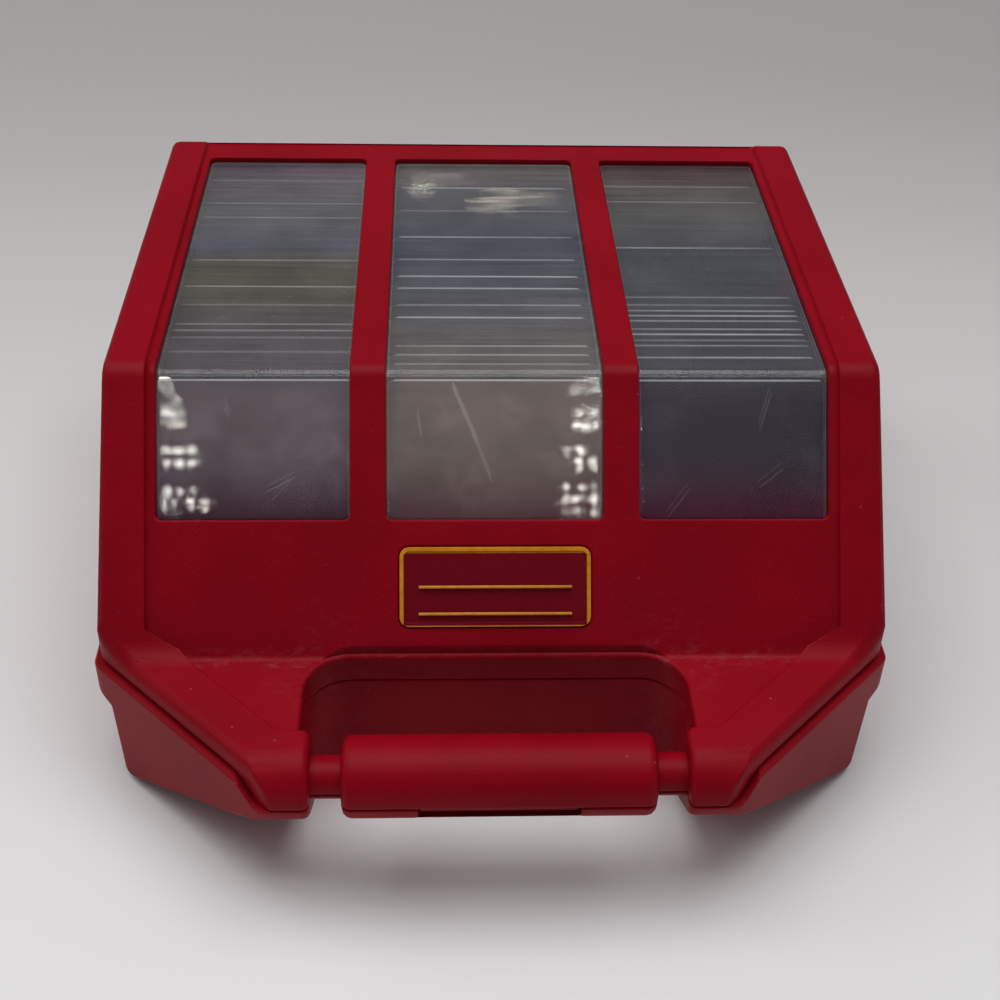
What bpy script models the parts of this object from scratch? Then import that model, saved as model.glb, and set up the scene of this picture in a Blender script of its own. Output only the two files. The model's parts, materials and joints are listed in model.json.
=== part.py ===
"""Three-row card storage case with a windowed lid and a split handle.

Metres, +Z up, +Y towards the hinge. The origin is under the middle of the case, on the surface it stands on.
"""
import math

import bmesh
import bpy
from mathutils import Matrix, Vector

# Cards, dividers and the insert that they stand in
CARD_WIDTH = 0.0635
CARD_HEIGHT = 0.0889
CARD_GAP = 0.0009                    # between a pack and the divider in front of it
CARD_SIDE_ROOM = 0.00425             # beside a card in its row
LANE_WIDTH = CARD_WIDTH + 2 * CARD_SIDE_ROOM
LANE_WALL = 0.0024
LANE_FLOOR = 0.0020
LANE_HEIGHT = 0.0430
LANE_CORNER_R = 0.0040
SEAT_GAP = 0.0003
TRAY_SIDE_ROOM = 0.0044              # between the insert and the lower shell's sides, at the floor
TRAY_BACK_ROOM = 0.0045
TRAY_FRONT_ROOM = 0.0042
LEAN = math.radians(6.0)
DIVIDER_WALL = 0.0012
DIVIDER_ROOM = 0.0055                # between the dividers' tops and the window panes
DIVIDER_SIDE_GAP = 0.0006
DIVIDER_CORNER_R = 0.0040
FIRST_DIVIDER = 0.0018               # foot of the foremost divider, ahead of the bend
LAST_SPACE = 0.0149                  # from the hindmost place for a divider to the end of the row

# Driving dimensions of the lower shell
BASE_WALL = 0.0031
BASE_FOOT_HALF = 3 * LANE_WIDTH / 2 + 2 * LANE_WALL + TRAY_SIDE_ROOM + BASE_WALL
BASE_DRAFT = math.radians(2.7)
BASE_INNER_DRAFT = math.radians(1.5)
FLOOR_WALL = 0.0028
SPLIT_Z = 0.0480                     # underside of the lid's wall
SPLIT_GAP = 0.0003
RIM_DROP = 0.0016                    # rim's top under the split, outside the lid's wall
RIM_Z = SPLIT_Z - RIM_DROP
RIM_SIDE = 0.0061                    # rim's outside beyond the foot of the side wall
RIM_HALF = BASE_FOOT_HALF + RIM_SIDE
RIM_BACK = 0.0040                    # rim behind the lid's back edge
RIM_EDGE_R = 0.0010
BAND_HEIGHT = 0.0154
BAND_SLANT = 0.0035
BACK_CORNER_R = 0.0080
FLOOR_EDGE_R = 0.0030
FLOOR_CORNER_R = 0.0060              # bottom back corner seen from the side
UNDERSIDE_R = 0.0080
RIM_PROUD = 0.0021                   # lower shell's chamfer, square to the lid's
SEAT_INSET = 0.0009                  # seat edge inside the lid's outer wall
TONGUE_WALL = 0.0018
TONGUE_RISE = 0.0028
TONGUE_BACK_ROOM = 0.0150            # from the tongues' ends to the back of the case

# Driving dimensions of the lid
TOP_Z = 0.125                        # height of the rails over the floor
TOP_DEPTH = 0.165                    # from the bend to the back edge of the lid
LID_OVER = 0.0017                    # half width over the rails, beyond the foot of the lower shell
LID_HALF = BASE_FOOT_HALF + LID_OVER
LID_DRAFT = math.radians(1.4)
SLOPE_ANGLE = math.radians(51.7)     # steep front, below the horizontal
LEDGE_RISE = 0.0065                  # ledge in front of the slope over the split
LEDGE_Z = SPLIT_Z + LEDGE_RISE
SLOPE_LENGTH = (TOP_Z - LEDGE_Z) / math.sin(SLOPE_ANGLE)
FOOT_AHEAD = SLOPE_LENGTH * math.cos(SLOPE_ANGLE)
RAIL_WIDTH = 0.0135
RAIL_RISE = 0.0020                   # rail over the flat top
RAIL_SLOPE_RISE = 0.0030             # rail over the front panel and over the ledge
RAIL_EDGE_R = 0.0030
BACK_TOP_R = 0.0055                  # top back corner seen from the side
STEP_FILLET = 0.0016
BEND_R = 0.0080
FOOT_R = 0.0110
LID_WALL = 0.0028
PANEL_WALL = 0.0026
CHAMFER_RAIL_WIDTH = 0.0150          # rail along the chamfered front corner
RAIL_TURN_BACK = 0.0054              # behind the slope's foot, where the side rail starts to widen
RAIL_WIDE_BACK = 0.0012              # and where it meets the chamfer's rail
CORNER_R = 0.0090                    # plan radius between the side and the chamfer
CHAMFER_EDGE_R = 0.0044              # upper edge along the chamfer

# Driving dimensions of the handle
NOSE_R = 0.0122                      # round front edge, and the grip that continues it
LEDGE_DEPTH = 0.0387                 # from the slope's foot to the handle's axis
NOSE_AHEAD = FOOT_AHEAD + LEDGE_DEPTH
SEAM_BELOW_AXIS = 0.0011
GRIP_HALF = 0.0463
GRIP_END_R = 0.0030
NECK_R = 0.0064
NECK_LENGTH = 0.0092
NECK_ROOT = 0.0020                   # how far a neck goes into its ear
EAR_INNER = GRIP_HALF + NECK_LENGTH
EAR_WIDTH = 0.0114                   # at the front, to the chamfer
EAR_DEPTH = 0.0075                   # from the handle's axis back to the ear's rear face
EAR_STEP = 0.0035                    # recess beside the ear's inner face
RECESS_HALF = EAR_INNER + EAR_STEP
RECESS_REACH = 0.0023                # recess's back wall behind the slope's foot
RECESS_BACK = FOOT_AHEAD - RECESS_REACH
RECESS_R = 0.0140
RECESS_EDGE_R = 0.0014
HANDLE_WALL = 0.0028
CHAMFER_SUM = NOSE_AHEAD + NOSE_R + EAR_INNER + EAR_WIDTH
UNDERSIDE_AHEAD = 0.0011             # from the recess's back wall to where the underside leaves the floor
UNDERSIDE_START = RECESS_BACK + UNDERSIDE_AHEAD
TONGUE_FRONT_ROOM = 0.0145           # tongues' front ends behind there
SEAM_FLAT = 0.0011                   # the handle's low seam is level to here, beyond the ear
SEAM_FLAT_HALF = EAR_INNER + EAR_WIDTH + SEAM_FLAT
SEAM_BLEND = 0.0130                  # and rises to the rim over this width

# Windows
WINDOW_LAP = 0.0018                  # frame over each side of the middle row
WINDOW_BAR = 0.0113                  # bar between two windows
WINDOW_SIDE = 0.0027                 # between a side window and its rail
WINDOW_BACK = 0.0135                 # between a window and the lid's back edge
WINDOW_FOOT = 0.0418                 # from a window down the slope to its foot
FRAME_CENTRE_HALF = LANE_WIDTH / 2 - WINDOW_LAP
FRAME_SIDE_INNER = FRAME_CENTRE_HALF + WINDOW_BAR
FRAME_SIDE_OUTER = LID_HALF - RAIL_WIDTH - WINDOW_SIDE
FRAME_BACK = TOP_DEPTH - WINDOW_BACK
FRAME_FRONT = SLOPE_LENGTH - WINDOW_FOOT
FRAME_CORNER_R = 0.0020
LENS_GAP = 0.0004
LENS_PROUD = 0.0009                  # lens over its flange
PANE_WALL = 0.0016
FLANGE = 0.0032
FLANGE_GAP = 0.0003

# Badge plate
BADGE_HALF = 0.0300
BADGE_HEIGHT = 0.0250
BADGE_UP = 0.0208                    # from the slope's foot up to the badge's middle
BADGE_WALL = 0.0013
BADGE_POCKET = 0.0010
BADGE_R = 0.0030
BADGE_GAP = 0.0003
BADGE_BORDER = 0.0014
BADGE_FIELD_DROP = 0.0004

# Hinge
HINGE_BEHIND = 0.0090                # axis behind the lid's back edge
KNUCKLE_R = 0.0045
PIN_R = 0.0016
PIN_FIT = 0.0003
HINGE_INSET = 0.0420                 # middle of each hinge from the lid's side
HINGE_X = LID_HALF - HINGE_INSET
LID_KNUCKLE = 0.0192
BASE_KNUCKLE = 0.0080
KNUCKLE_GAP = 0.0004
PIN_END_INSET = 0.0005
ARM_LIFT = 0.0006                    # lid's hinge arm over the rim

# Latch, whose depths are measured forwards from the handle's axis
LATCH_HALF = 0.0235
LATCH_LOW = 0.0083                   # underside of the pad, below the axis
LATCH_TRAVEL = 0.0024
LATCH_FIT = 0.0004
LATCH_PAD_BACK = 0.0052              # back of the pad when pressed in
LATCH_SLOT_BACK = 0.0030             # back of its slot
LATCH_STEM_HALF = 0.0060
LATCH_STEM_LOW = 0.0075              # underside of the stem, below the axis
LATCH_STEM_WALL = 0.0018
KEEPER_FRONT = 0.0045                # front of the lid's tongue behind the pad
KEEPER_WALL = 0.0014
KEEPER_NOSE = 0.0019                 # catch on the back of that tongue
KEEPER_NOSE_WALL = 0.0018
KEEPER_GAP = 0.0006                  # hook behind the catch when pressed in
KEEPER_ROOT = 0.0094                 # top of the tongue over the axis
LATCH_HOOK_REACH = 0.0030
LATCH_HOOK_WALL = 0.0018
LATCH_POST_WALL = 0.0020

# Places of the dividers along each row, as shares of the run from front to back
DIVIDER_SHARES = {
    "left": (0.0, 0.118, 0.180, 0.211, 0.240, 0.329, 0.418, 0.549, 0.781, 0.862, 1.0),
    "centre": (0.0, 0.068, 0.106, 0.145, 0.273, 0.331, 0.412, 0.471, 0.557, 0.677, 0.825, 0.962),
    "right": (0.0, 0.097, 0.148, 0.173, 0.199, 0.222, 0.260, 0.284, 0.307, 0.334, 0.372, 0.624, 0.884, 0.978),
}
# Packs of cards: the divider in front of each, and the share of the space behind it that the pack fills
PACK_SHARES = {
    "left": ((1, 0.45), (8, 0.80), (10, 0.45)),
    "centre": ((4, 0.70), (10, 0.75), (11, 0.72)),
    "right": ((11, 0.78), (12, 0.80)),
}

OVERRUN = 0.020                      # how far every cutter runs past what it cuts
BITE = 0.0010                        # how deep joined shapes reach into each other
ARC_STEP = math.radians(12)
FINE_ARC_STEP = math.radians(30)

# Worked out from the sizes above
BEND_Y = (NOSE_AHEAD + NOSE_R - TOP_DEPTH - HINGE_BEHIND - KNUCKLE_R) / 2
NOSE_Y = BEND_Y - NOSE_AHEAD
NOSE_Z = LEDGE_Z - NOSE_R
SEAM_Z = NOSE_Z - SEAM_BELOW_AXIS
HINGE_Y = BEND_Y + TOP_DEPTH + HINGE_BEHIND
HINGE_Z = SPLIT_Z
RECESS_Y = BEND_Y - RECESS_BACK
PANEL_LEDGE_Z = LEDGE_Z - RAIL_SLOPE_RISE
LANE_BACK_Y = BEND_Y + TOP_DEPTH - BASE_WALL - TRAY_BACK_ROOM - LANE_WALL
LANE_FRONT_Y = RECESS_Y + HANDLE_WALL + TRAY_FRONT_ROOM + LANE_WALL
LANE_FLOOR_Z = FLOOR_WALL + SEAT_GAP + LANE_FLOOR
DIVIDER_RUN = LANE_BACK_Y - LAST_SPACE - BEND_Y + FIRST_DIVIDER
DIVIDER_TOP_Z = TOP_Z - RAIL_RISE - PANEL_WALL - FLANGE_GAP - PANE_WALL - DIVIDER_ROOM
DIVIDER_HEIGHT = (DIVIDER_TOP_Z - LANE_FLOOR_Z - SEAT_GAP) / math.cos(LEAN) - DIVIDER_WALL * math.tan(LEAN)
LANE_PITCH = LANE_WIDTH + LANE_WALL
LANES = {"left": -LANE_PITCH, "centre": 0.0, "right": LANE_PITCH}
SQRT2 = math.sqrt(2)


def lid_half(z):
    """Half width of the lid's outside at a height."""
    return LID_HALF + (TOP_Z - z) * math.tan(LID_DRAFT)


def lid_back(z):
    """Back face of the lid at a height."""
    return BEND_Y + TOP_DEPTH + (TOP_Z - z) * math.tan(LID_DRAFT)


def base_half(z):
    """Half width of the lower shell's wall at a height."""
    return BASE_FOOT_HALF + z * math.tan(BASE_DRAFT)


def base_back(z):
    """Back face of the lower shell's wall at a height."""
    return BEND_Y + TOP_DEPTH + z * math.tan(BASE_DRAFT)


def base_inner_half(z):
    """Half width inside the lower shell at a height."""
    return BASE_FOOT_HALF - BASE_WALL + z * math.tan(BASE_INNER_DRAFT)


def slope_y(z, drop=0.0):
    """Where the front slope, moved inwards by drop, has a height."""
    return BEND_Y + (z - TOP_Z + drop / math.cos(SLOPE_ANGLE)) / math.tan(SLOPE_ANGLE)


def slope_point(down, drop=0.0):
    """Point on the front slope, down from the bend and sunk by drop, as (y, z)."""
    along = Vector((-math.cos(SLOPE_ANGLE), -math.sin(SLOPE_ANGLE)))
    inward = Vector((math.sin(SLOPE_ANGLE), -math.cos(SLOPE_ANGLE)))
    return Vector((BEND_Y, TOP_Z)) + along * down + inward * drop


def arc(centre, radius, start, end, step=ARC_STEP):
    """Points on an arc between two angles, both ends included."""
    count = max(1, math.ceil(abs(end - start) / step))
    angles = [start + (end - start) * i / count for i in range(count + 1)]
    return [(centre[0] + radius * math.cos(a), centre[1] + radius * math.sin(a)) for a in angles]


def rounded(corners, step=ARC_STEP):
    """Closed outline whose corners (u, v, radius) are replaced by arcs."""
    points = []
    for i, (u, v, radius) in enumerate(corners):
        here = Vector((u, v))
        if radius <= 0:
            points.append(here)
            continue
        before = (Vector(corners[i - 1][:2]) - here).normalized()
        after = (Vector(corners[(i + 1) % len(corners)][:2]) - here).normalized()
        half = before.angle(after) / 2
        reach = radius / math.tan(half)
        middle = here + (before + after).normalized() * (radius / math.sin(half))
        first = here + before * reach - middle
        last = here + after * reach - middle
        turn = first.angle_signed(last)
        count = max(1, math.ceil(abs(turn) / step))
        for k in range(count + 1):
            points.append(middle + Matrix.Rotation(-turn * k / count, 2) @ first)
    return points


def plain(points):
    """Corners with no radius."""
    return [(u, v, 0.0) for u, v in points]


def new_object(name, mesh, material=None):
    """Object of a mesh, linked to the scene."""
    obj = bpy.data.objects.new(name, mesh)
    bpy.context.scene.collection.objects.link(obj)
    if material:
        mesh.materials.append(material)
    return obj


def mesh_from(name, bm, material=None):
    """Object from a bmesh, with its faces turned outwards."""
    bmesh.ops.recalc_face_normals(bm, faces=bm.faces)
    mesh = bpy.data.meshes.new(name)
    bm.to_mesh(mesh)
    bm.free()
    return new_object(name, mesh, material)


def loft(name, rings, material=None):
    """Closed solid through rings of as many points each."""
    bm = bmesh.new()
    rows = [[bm.verts.new(p) for p in ring] for ring in rings]
    count = len(rows[0])
    for low, high in zip(rows, rows[1:]):
        for i in range(count):
            j = (i + 1) % count
            bm.faces.new((low[i], low[j], high[j], high[i]))
    bm.faces.new(rows[0])
    bm.faces.new(rows[-1])
    return mesh_from(name, bm, material)


def prism_x(name, outline, half, edge_r=0.0, low=-math.inf, high=math.inf, material=None):
    """Outline in (y, z) drawn out to both sides, to a half width that may depend on height.

    With edge_r, the edges round both side faces are rounded, apart from those under the height low or over high.
    """
    width = half if callable(half) else (lambda z: half)
    rings = [[(side * width(z), y, z) for y, z in outline] for side in (-1, 1)]
    obj = loft(name, rings, material)
    if edge_r:
        bm = bmesh.new()
        bm.from_mesh(obj.data)
        sides = [f for f in bm.faces if len(f.verts) == len(outline)]
        edges = {e for f in sides for e in f.edges
                 if max(v.co.z for v in e.verts) > low + BITE and min(v.co.z for v in e.verts) < high - BITE}
        bmesh.ops.bevel(bm, geom=list(edges), offset=edge_r, offset_type="OFFSET", segments=3, profile=0.5,
                        affect="EDGES", clamp_overlap=False)
        bm.to_mesh(obj.data)
        bm.free()
    return obj


def prism_between(name, outline, x0, x1, material=None):
    """Outline in (y, z) drawn out from x0 to x1."""
    return loft(name, [[(x, y, z) for y, z in outline] for x in (x0, x1)], material)


def prism_y(name, outline, y0, y1):
    """Outline in (x, z) drawn out from y0 to y1."""
    return loft(name, [[(x, y, z) for x, z in outline] for y in (y0, y1)])


def prism_z(name, outline, z0, z1, material=None):
    """Outline in (x, y) drawn out from z0 to z1."""
    return loft(name, [[(x, y, z) for x, y in outline] for z in (z0, z1)], material)


def box(name, x, y, z, material=None):
    """Block between two values on each axis."""
    return prism_z(name, [(x[0], y[0]), (x[1], y[0]), (x[1], y[1]), (x[0], y[1])], z[0], z[1], material)


def boolean(target, tool, operation):
    """Applies a Boolean to a target and removes the tool."""
    modifier = target.modifiers.new("Boolean", "BOOLEAN")
    modifier.operation = operation
    modifier.solver = "EXACT"
    modifier.object = tool
    graph = bpy.context.evaluated_depsgraph_get()
    result = bpy.data.meshes.new_from_object(target.evaluated_get(graph))
    target.modifiers.clear()
    old = target.data
    target.data = result
    bpy.data.meshes.remove(old)
    tool_mesh = tool.data
    bpy.data.objects.remove(tool)
    bpy.data.meshes.remove(tool_mesh)
    return target


def cut(target, *tools):
    """Takes tools away from a target."""
    for tool in tools:
        boolean(target, tool, "DIFFERENCE")
    return target


def join(target, *tools):
    """Adds tools to a target."""
    for tool in tools:
        boolean(target, tool, "UNION")
    return target


def keep(target, tool):
    """Keeps what a target shares with a tool."""
    return boolean(target, tool, "INTERSECT")


def finish(obj, name, material):
    """Names a solid, gives it its one material and shades its round faces smooth."""
    obj.name = name
    obj.data.name = name
    obj.data.materials.clear()
    obj.data.materials.append(material)
    for face in obj.data.polygons:
        face.material_index = 0
    obj.data.shade_smooth()
    obj.data.set_sharp_from_angle(angle=math.radians(28))
    return obj


def surface(name, colour, roughness, metallic=0.0, alpha=1.0, transmission=0.0):
    """Principled material."""
    material = bpy.data.materials.new(name)
    material.use_nodes = True
    shader = material.node_tree.nodes["Principled BSDF"]
    shader.inputs["Base Color"].default_value = (*colour, 1.0)
    shader.inputs["Roughness"].default_value = roughness
    shader.inputs["Metallic"].default_value = metallic
    shader.inputs["Alpha"].default_value = alpha
    shader.inputs["Transmission Weight"].default_value = transmission
    material.diffuse_color = (*colour, alpha)
    return material


def lid_path(top_drop, slope_drop, ledge_z, bend_r, foot_r):
    """Back top corner, bend and foot of the lid's surface, sunk by the given drops."""
    top = TOP_Z - top_drop
    return [(slope_y(top, slope_drop), top, bend_r), (slope_y(ledge_z, slope_drop), ledge_z, foot_r)]


def rail_outline():
    """Outside of the lid over the rails, down to the handle's seam, as a closed outline."""
    seam_angle = math.pi + math.asin(SEAM_BELOW_AXIS / NOSE_R)
    nose = arc((NOSE_Y, NOSE_Z), NOSE_R, math.pi / 2, seam_angle)
    corners = [(lid_back(SEAM_Z), SEAM_Z, 0.0), (lid_back(TOP_Z), TOP_Z, BACK_TOP_R)]
    corners += lid_path(0.0, 0.0, LEDGE_Z, BEND_R, FOOT_R)
    return rounded(corners + plain(nose))


def rail_height(ahead):
    """Height of the rail at a distance ahead of the bend, with the fillet at the foot of the slope."""
    reach = FOOT_R * math.tan(SLOPE_ANGLE / 2)
    if ahead >= FOOT_AHEAD + reach:
        return LEDGE_Z
    if ahead <= FOOT_AHEAD - reach * math.cos(SLOPE_ANGLE):
        return LEDGE_Z + (FOOT_AHEAD - ahead) * math.tan(SLOPE_ANGLE)
    return LEDGE_Z + FOOT_R - math.sqrt(FOOT_R ** 2 - (FOOT_AHEAD + reach - ahead) ** 2)


def chamfer_tool(name, side, chamfer_sum, half, top, edge_r, corner_r=CORNER_R):
    """Cutter outside one chamfered front corner, rounding the top edge along it.

    chamfer_sum is x plus the distance ahead of the bend, half is the x of the side wall, and top gives the height
    of the edge at a distance ahead of the bend.
    """
    out = 3 * OVERRUN
    turns = 5
    reach = FOOT_R * math.tan(SLOPE_ANGLE / 2)
    tangent = corner_r * math.tan(math.pi / 8)
    centre = Vector((half - corner_r, half - chamfer_sum + tangent))
    turn_ahead = chamfer_sum - half + tangent / SQRT2
    aheads = [NOSE_AHEAD + NOSE_R + OVERRUN / 2]
    aheads += [FOOT_AHEAD + reach * (1 - k / 3) for k in range(5)]
    square = Vector((1, -1)).normalized()
    path = [(Vector((chamfer_sum - a, -a)), square, edge_r) for a in aheads if a > turn_ahead + BITE / 2]
    for i in range(turns + 1):
        angle = -math.pi / 4 + math.pi / 4 * i / turns
        normal = Vector((math.cos(angle), math.sin(angle)))
        path.append((centre + normal * corner_r, normal, edge_r * (1 - i / turns / 3)))
    path.append((Vector((half, half - chamfer_sum + OVERRUN)), Vector((1, 0)), edge_r / 12))
    rings = []
    for point, normal, radius in path:
        profile = [(out, -OVERRUN), (0.0, -OVERRUN)]
        for a in (math.pi / 2 * k / 4 for k in range(5)):
            inwards = radius * (math.cos(a) - 1)
            height = top(-point.y - normal.y * inwards) + BITE / 10
            profile.append((inwards, height + radius * (math.sin(a) - 1)))
        profile += [(-radius, TOP_Z + OVERRUN), (out, TOP_Z + OVERRUN)]
        rings.append([(side * (point.x + normal.x * n), BEND_Y + point.y + normal.y * n, z) for n, z in profile])
    return loft(name, rings)


def recess_plan(grow):
    """Outline of the hand recess behind the ears, in (x, y)."""
    half = RECESS_HALF + grow
    front = NOSE_Y + EAR_DEPTH
    back = RECESS_Y + grow
    radius = RECESS_R + grow
    return rounded([(-half, front, 0.0), (half, front, 0.0), (half, back, radius), (-half, back, radius)])


def recess_tool(edge_r):
    """Cutter for the hand recess, whose upper edge is rounded into the ledge."""
    levels = [(-OVERRUN, 0.0)]
    levels += [(PANEL_LEDGE_Z + BITE / 20 + edge_r * (math.sin(a) - 1), edge_r * (1 - math.cos(a)))
               for a in (math.pi / 2 * k / 3 for k in range(4))]
    levels.append((TOP_Z, edge_r))
    return loft("recess", [[(x, y, z) for x, y in recess_plan(grow)] for z, grow in levels])


def ear_gap_tool():
    """Cutter between the ears, from the recess out to the front."""
    return box("ear_gap", (-EAR_INNER, EAR_INNER), (NOSE_Y - NOSE_R - OVERRUN, NOSE_Y + EAR_DEPTH + BITE),
               (-OVERRUN, TOP_Z))


def seam_outline(gap, above):
    """Region over or under the seam at the front, in (x, z)."""
    low = SEAM_Z - gap
    high = SPLIT_Z - gap
    middle = SEAM_FLAT_HALF + SEAM_BLEND / 2
    blend = SEAM_BLEND / 2
    edge = TOP_Z + OVERRUN if above else -OVERRUN
    side = RIM_HALF + OVERRUN
    corners = [(-side, edge, 0.0), (-side, high, 0.0), (-middle - blend / 2, high, blend / 2),
               (-middle + blend / 2, low, blend / 2), (middle - blend / 2, low, blend / 2),
               (middle + blend / 2, high, blend / 2), (side, high, 0.0), (side, edge, 0.0)]
    return rounded(corners, FINE_ARC_STEP)


def handle_solid(name):
    """Grip and its two necks, turned about the handle's axis."""
    end = [(-GRIP_HALF + GRIP_END_R * (1 - math.sin(a)), NOSE_R - GRIP_END_R * (1 - math.cos(a)))
           for a in (math.pi / 2 * k / 3 for k in range(4))]
    profile = [(-EAR_INNER - NECK_ROOT, NECK_R), (-GRIP_HALF, NECK_R)] + end[::-1]
    profile += [(-x, r) for x, r in reversed(profile)]
    return turned(name, profile)


def turned(name, profile, segments=32):
    """Solid turned about the handle's axis from (x, radius) points, with flat ends."""
    rings = []
    for x, radius in profile:
        angles = [2 * math.pi * i / segments for i in range(segments)]
        rings.append([(x, NOSE_Y + radius * math.cos(a), NOSE_Z + radius * math.sin(a)) for a in angles])
    return loft(name, rings)


def grip_hollow(name):
    """Space inside the grip."""
    end = GRIP_HALF - HANDLE_WALL
    radius = NOSE_R - HANDLE_WALL
    return turned(name, [(-end, radius), (end, radius)])


def panel_tool():
    """Cutter that sinks the panel between the rails, with a filleted step."""
    side = LID_HALF - RAIL_WIDTH
    ear_back = NOSE_Y + EAR_DEPTH
    corners = [(lid_back(SEAM_Z) + OVERRUN, TOP_Z - RAIL_RISE, 0.0)]
    corners += lid_path(RAIL_RISE, RAIL_SLOPE_RISE, PANEL_LEDGE_Z, BEND_R - RAIL_RISE, FOOT_R / 4)
    corners += [(ear_back, PANEL_LEDGE_Z, 0.0), (ear_back, TOP_Z + OVERRUN, 0.0),
                (lid_back(SEAM_Z) + OVERRUN, TOP_Z + OVERRUN, 0.0)]
    tool = prism_x("panel", rounded(corners), side)
    inner_sum = CHAMFER_SUM - CHAMFER_RAIL_WIDTH * SQRT2
    ahead = BEND_Y - ear_back
    turn = FOOT_AHEAD - RAIL_TURN_BACK
    wide = FOOT_AHEAD - RAIL_WIDE_BACK
    plan = [(side + BITE, lid_back(SEAM_Z) + 2 * OVERRUN), (side + BITE, BEND_Y - turn), (side, BEND_Y - turn),
            (inner_sum - wide, BEND_Y - wide),
            (inner_sum - ahead - BITE, ear_back - BITE)]
    plan += [(-x, y) for x, y in reversed(plan)]
    keep(tool, prism_z("panel_plan", plan, 0.0, TOP_Z + 2 * OVERRUN))
    bm = bmesh.new()
    bm.from_mesh(tool.data)
    bmesh.ops.dissolve_limit(bm, angle_limit=math.radians(0.5), verts=bm.verts, edges=bm.edges)
    floor_top = TOP_Z - RAIL_RISE + BITE / 10

    def upright(face):
        return abs(face.normal.z) < 0.2 and abs(face.normal.x) > 0.5

    edges = [e for e in bm.edges if len(e.link_faces) == 2 and sum(upright(f) for f in e.link_faces) == 1
             and max(v.co.z for v in e.verts) < floor_top]
    bmesh.ops.bevel(bm, geom=edges, offset=STEP_FILLET, offset_type="OFFSET", segments=2, profile=0.5,
                    affect="EDGES", clamp_overlap=False)
    bm.to_mesh(tool.data)
    bm.free()
    return tool


def inside_tools(half_wall):
    """Cutters for what lies outside the hollow: the recess's walls and the two chamfers."""
    recess = prism_z("inner_recess", recess_plan(half_wall), -OVERRUN, TOP_Z)
    front = box("inner_front", (-RECESS_HALF - half_wall, RECESS_HALF + half_wall),
                (NOSE_Y - NOSE_R - OVERRUN, NOSE_Y + EAR_DEPTH + BITE), (-OVERRUN, TOP_Z))
    return [recess, front]


def lid_hollow():
    """Space inside the lid."""
    inner_ledge = PANEL_LEDGE_Z - PANEL_WALL
    nose = arc((NOSE_Y, NOSE_Z), NOSE_R - LID_WALL, math.pi / 2, math.pi)
    back = lid_back(SEAM_Z) - LID_WALL
    ear_inside = NOSE_Y + EAR_DEPTH - LID_WALL
    corners = [(back, -OVERRUN, 0.0), (back - BITE, TOP_Z - RAIL_RISE - PANEL_WALL, RAIL_EDGE_R)]
    corners += lid_path(RAIL_RISE + PANEL_WALL, RAIL_SLOPE_RISE + PANEL_WALL, inner_ledge,
                        BEND_R - RAIL_RISE - PANEL_WALL, FOOT_R / 4)
    corners += [(ear_inside, inner_ledge, 0.0), (ear_inside, NOSE_Z + NOSE_R - LID_WALL, 0.0)]
    corners += plain(nose) + [(NOSE_Y - NOSE_R + LID_WALL, -OVERRUN, 0.0)]
    hollow = prism_x("lid_hollow", rounded(corners), lambda z: lid_half(z) - LID_WALL)
    channel_in = LID_HALF - RAIL_WIDTH + LID_WALL
    channel = [(back - BITE, TOP_Z - LID_WALL - RAIL_RISE - PANEL_WALL, 0.0), (back - BITE, TOP_Z - LID_WALL, 0.0)]
    channel += lid_path(LID_WALL, LID_WALL, PANEL_LEDGE_Z, BEND_R - LID_WALL, 0.0)
    channel += lid_path(RAIL_RISE + 2 * PANEL_WALL, RAIL_SLOPE_RISE + 2 * PANEL_WALL, PANEL_LEDGE_Z, 0.0, 0.0)[::-1]
    for side in (-1, 1):
        ends = sorted((side * channel_in, side * (lid_half(TOP_Z) - LID_WALL)))
        join(hollow, prism_between("channel", rounded(channel), *ends))
    cut(hollow, *inside_tools(HANDLE_WALL))
    for side in (-1, 1):
        cut(hollow, chamfer_tool("inner_chamfer", side, CHAMFER_SUM - LID_WALL * SQRT2,
                                 lid_half(SPLIT_Z) + BITE, lambda ahead: TOP_Z + OVERRUN / 2, BITE))
    return hollow


def window_outline(back, front, shallow, deep):
    """Band along the panel's surface between two drops under the rails' level, round the bend."""
    top = [(BEND_Y + back, TOP_Z - RAIL_RISE - deep, 0.0), (BEND_Y + back, TOP_Z - RAIL_RISE - shallow, 0.0)]
    level = TOP_Z - RAIL_RISE - shallow
    top.append((slope_y(level, RAIL_SLOPE_RISE + shallow), level, max(BEND_R - RAIL_RISE - shallow, 0.0)))
    for drop in (shallow, deep):
        y, z = slope_point(front, RAIL_SLOPE_RISE + drop)
        top.append((y, z, 0.0))
    level = TOP_Z - RAIL_RISE - deep
    top.append((slope_y(level, RAIL_SLOPE_RISE + deep), level, max(BEND_R - RAIL_RISE - deep, 0.0)))
    return rounded(top)


FRAMES = {
    "left": (-FRAME_SIDE_OUTER, -FRAME_SIDE_INNER),
    "centre": (-FRAME_CENTRE_HALF, FRAME_CENTRE_HALF),
    "right": (FRAME_SIDE_INNER, FRAME_SIDE_OUTER),
}


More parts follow.
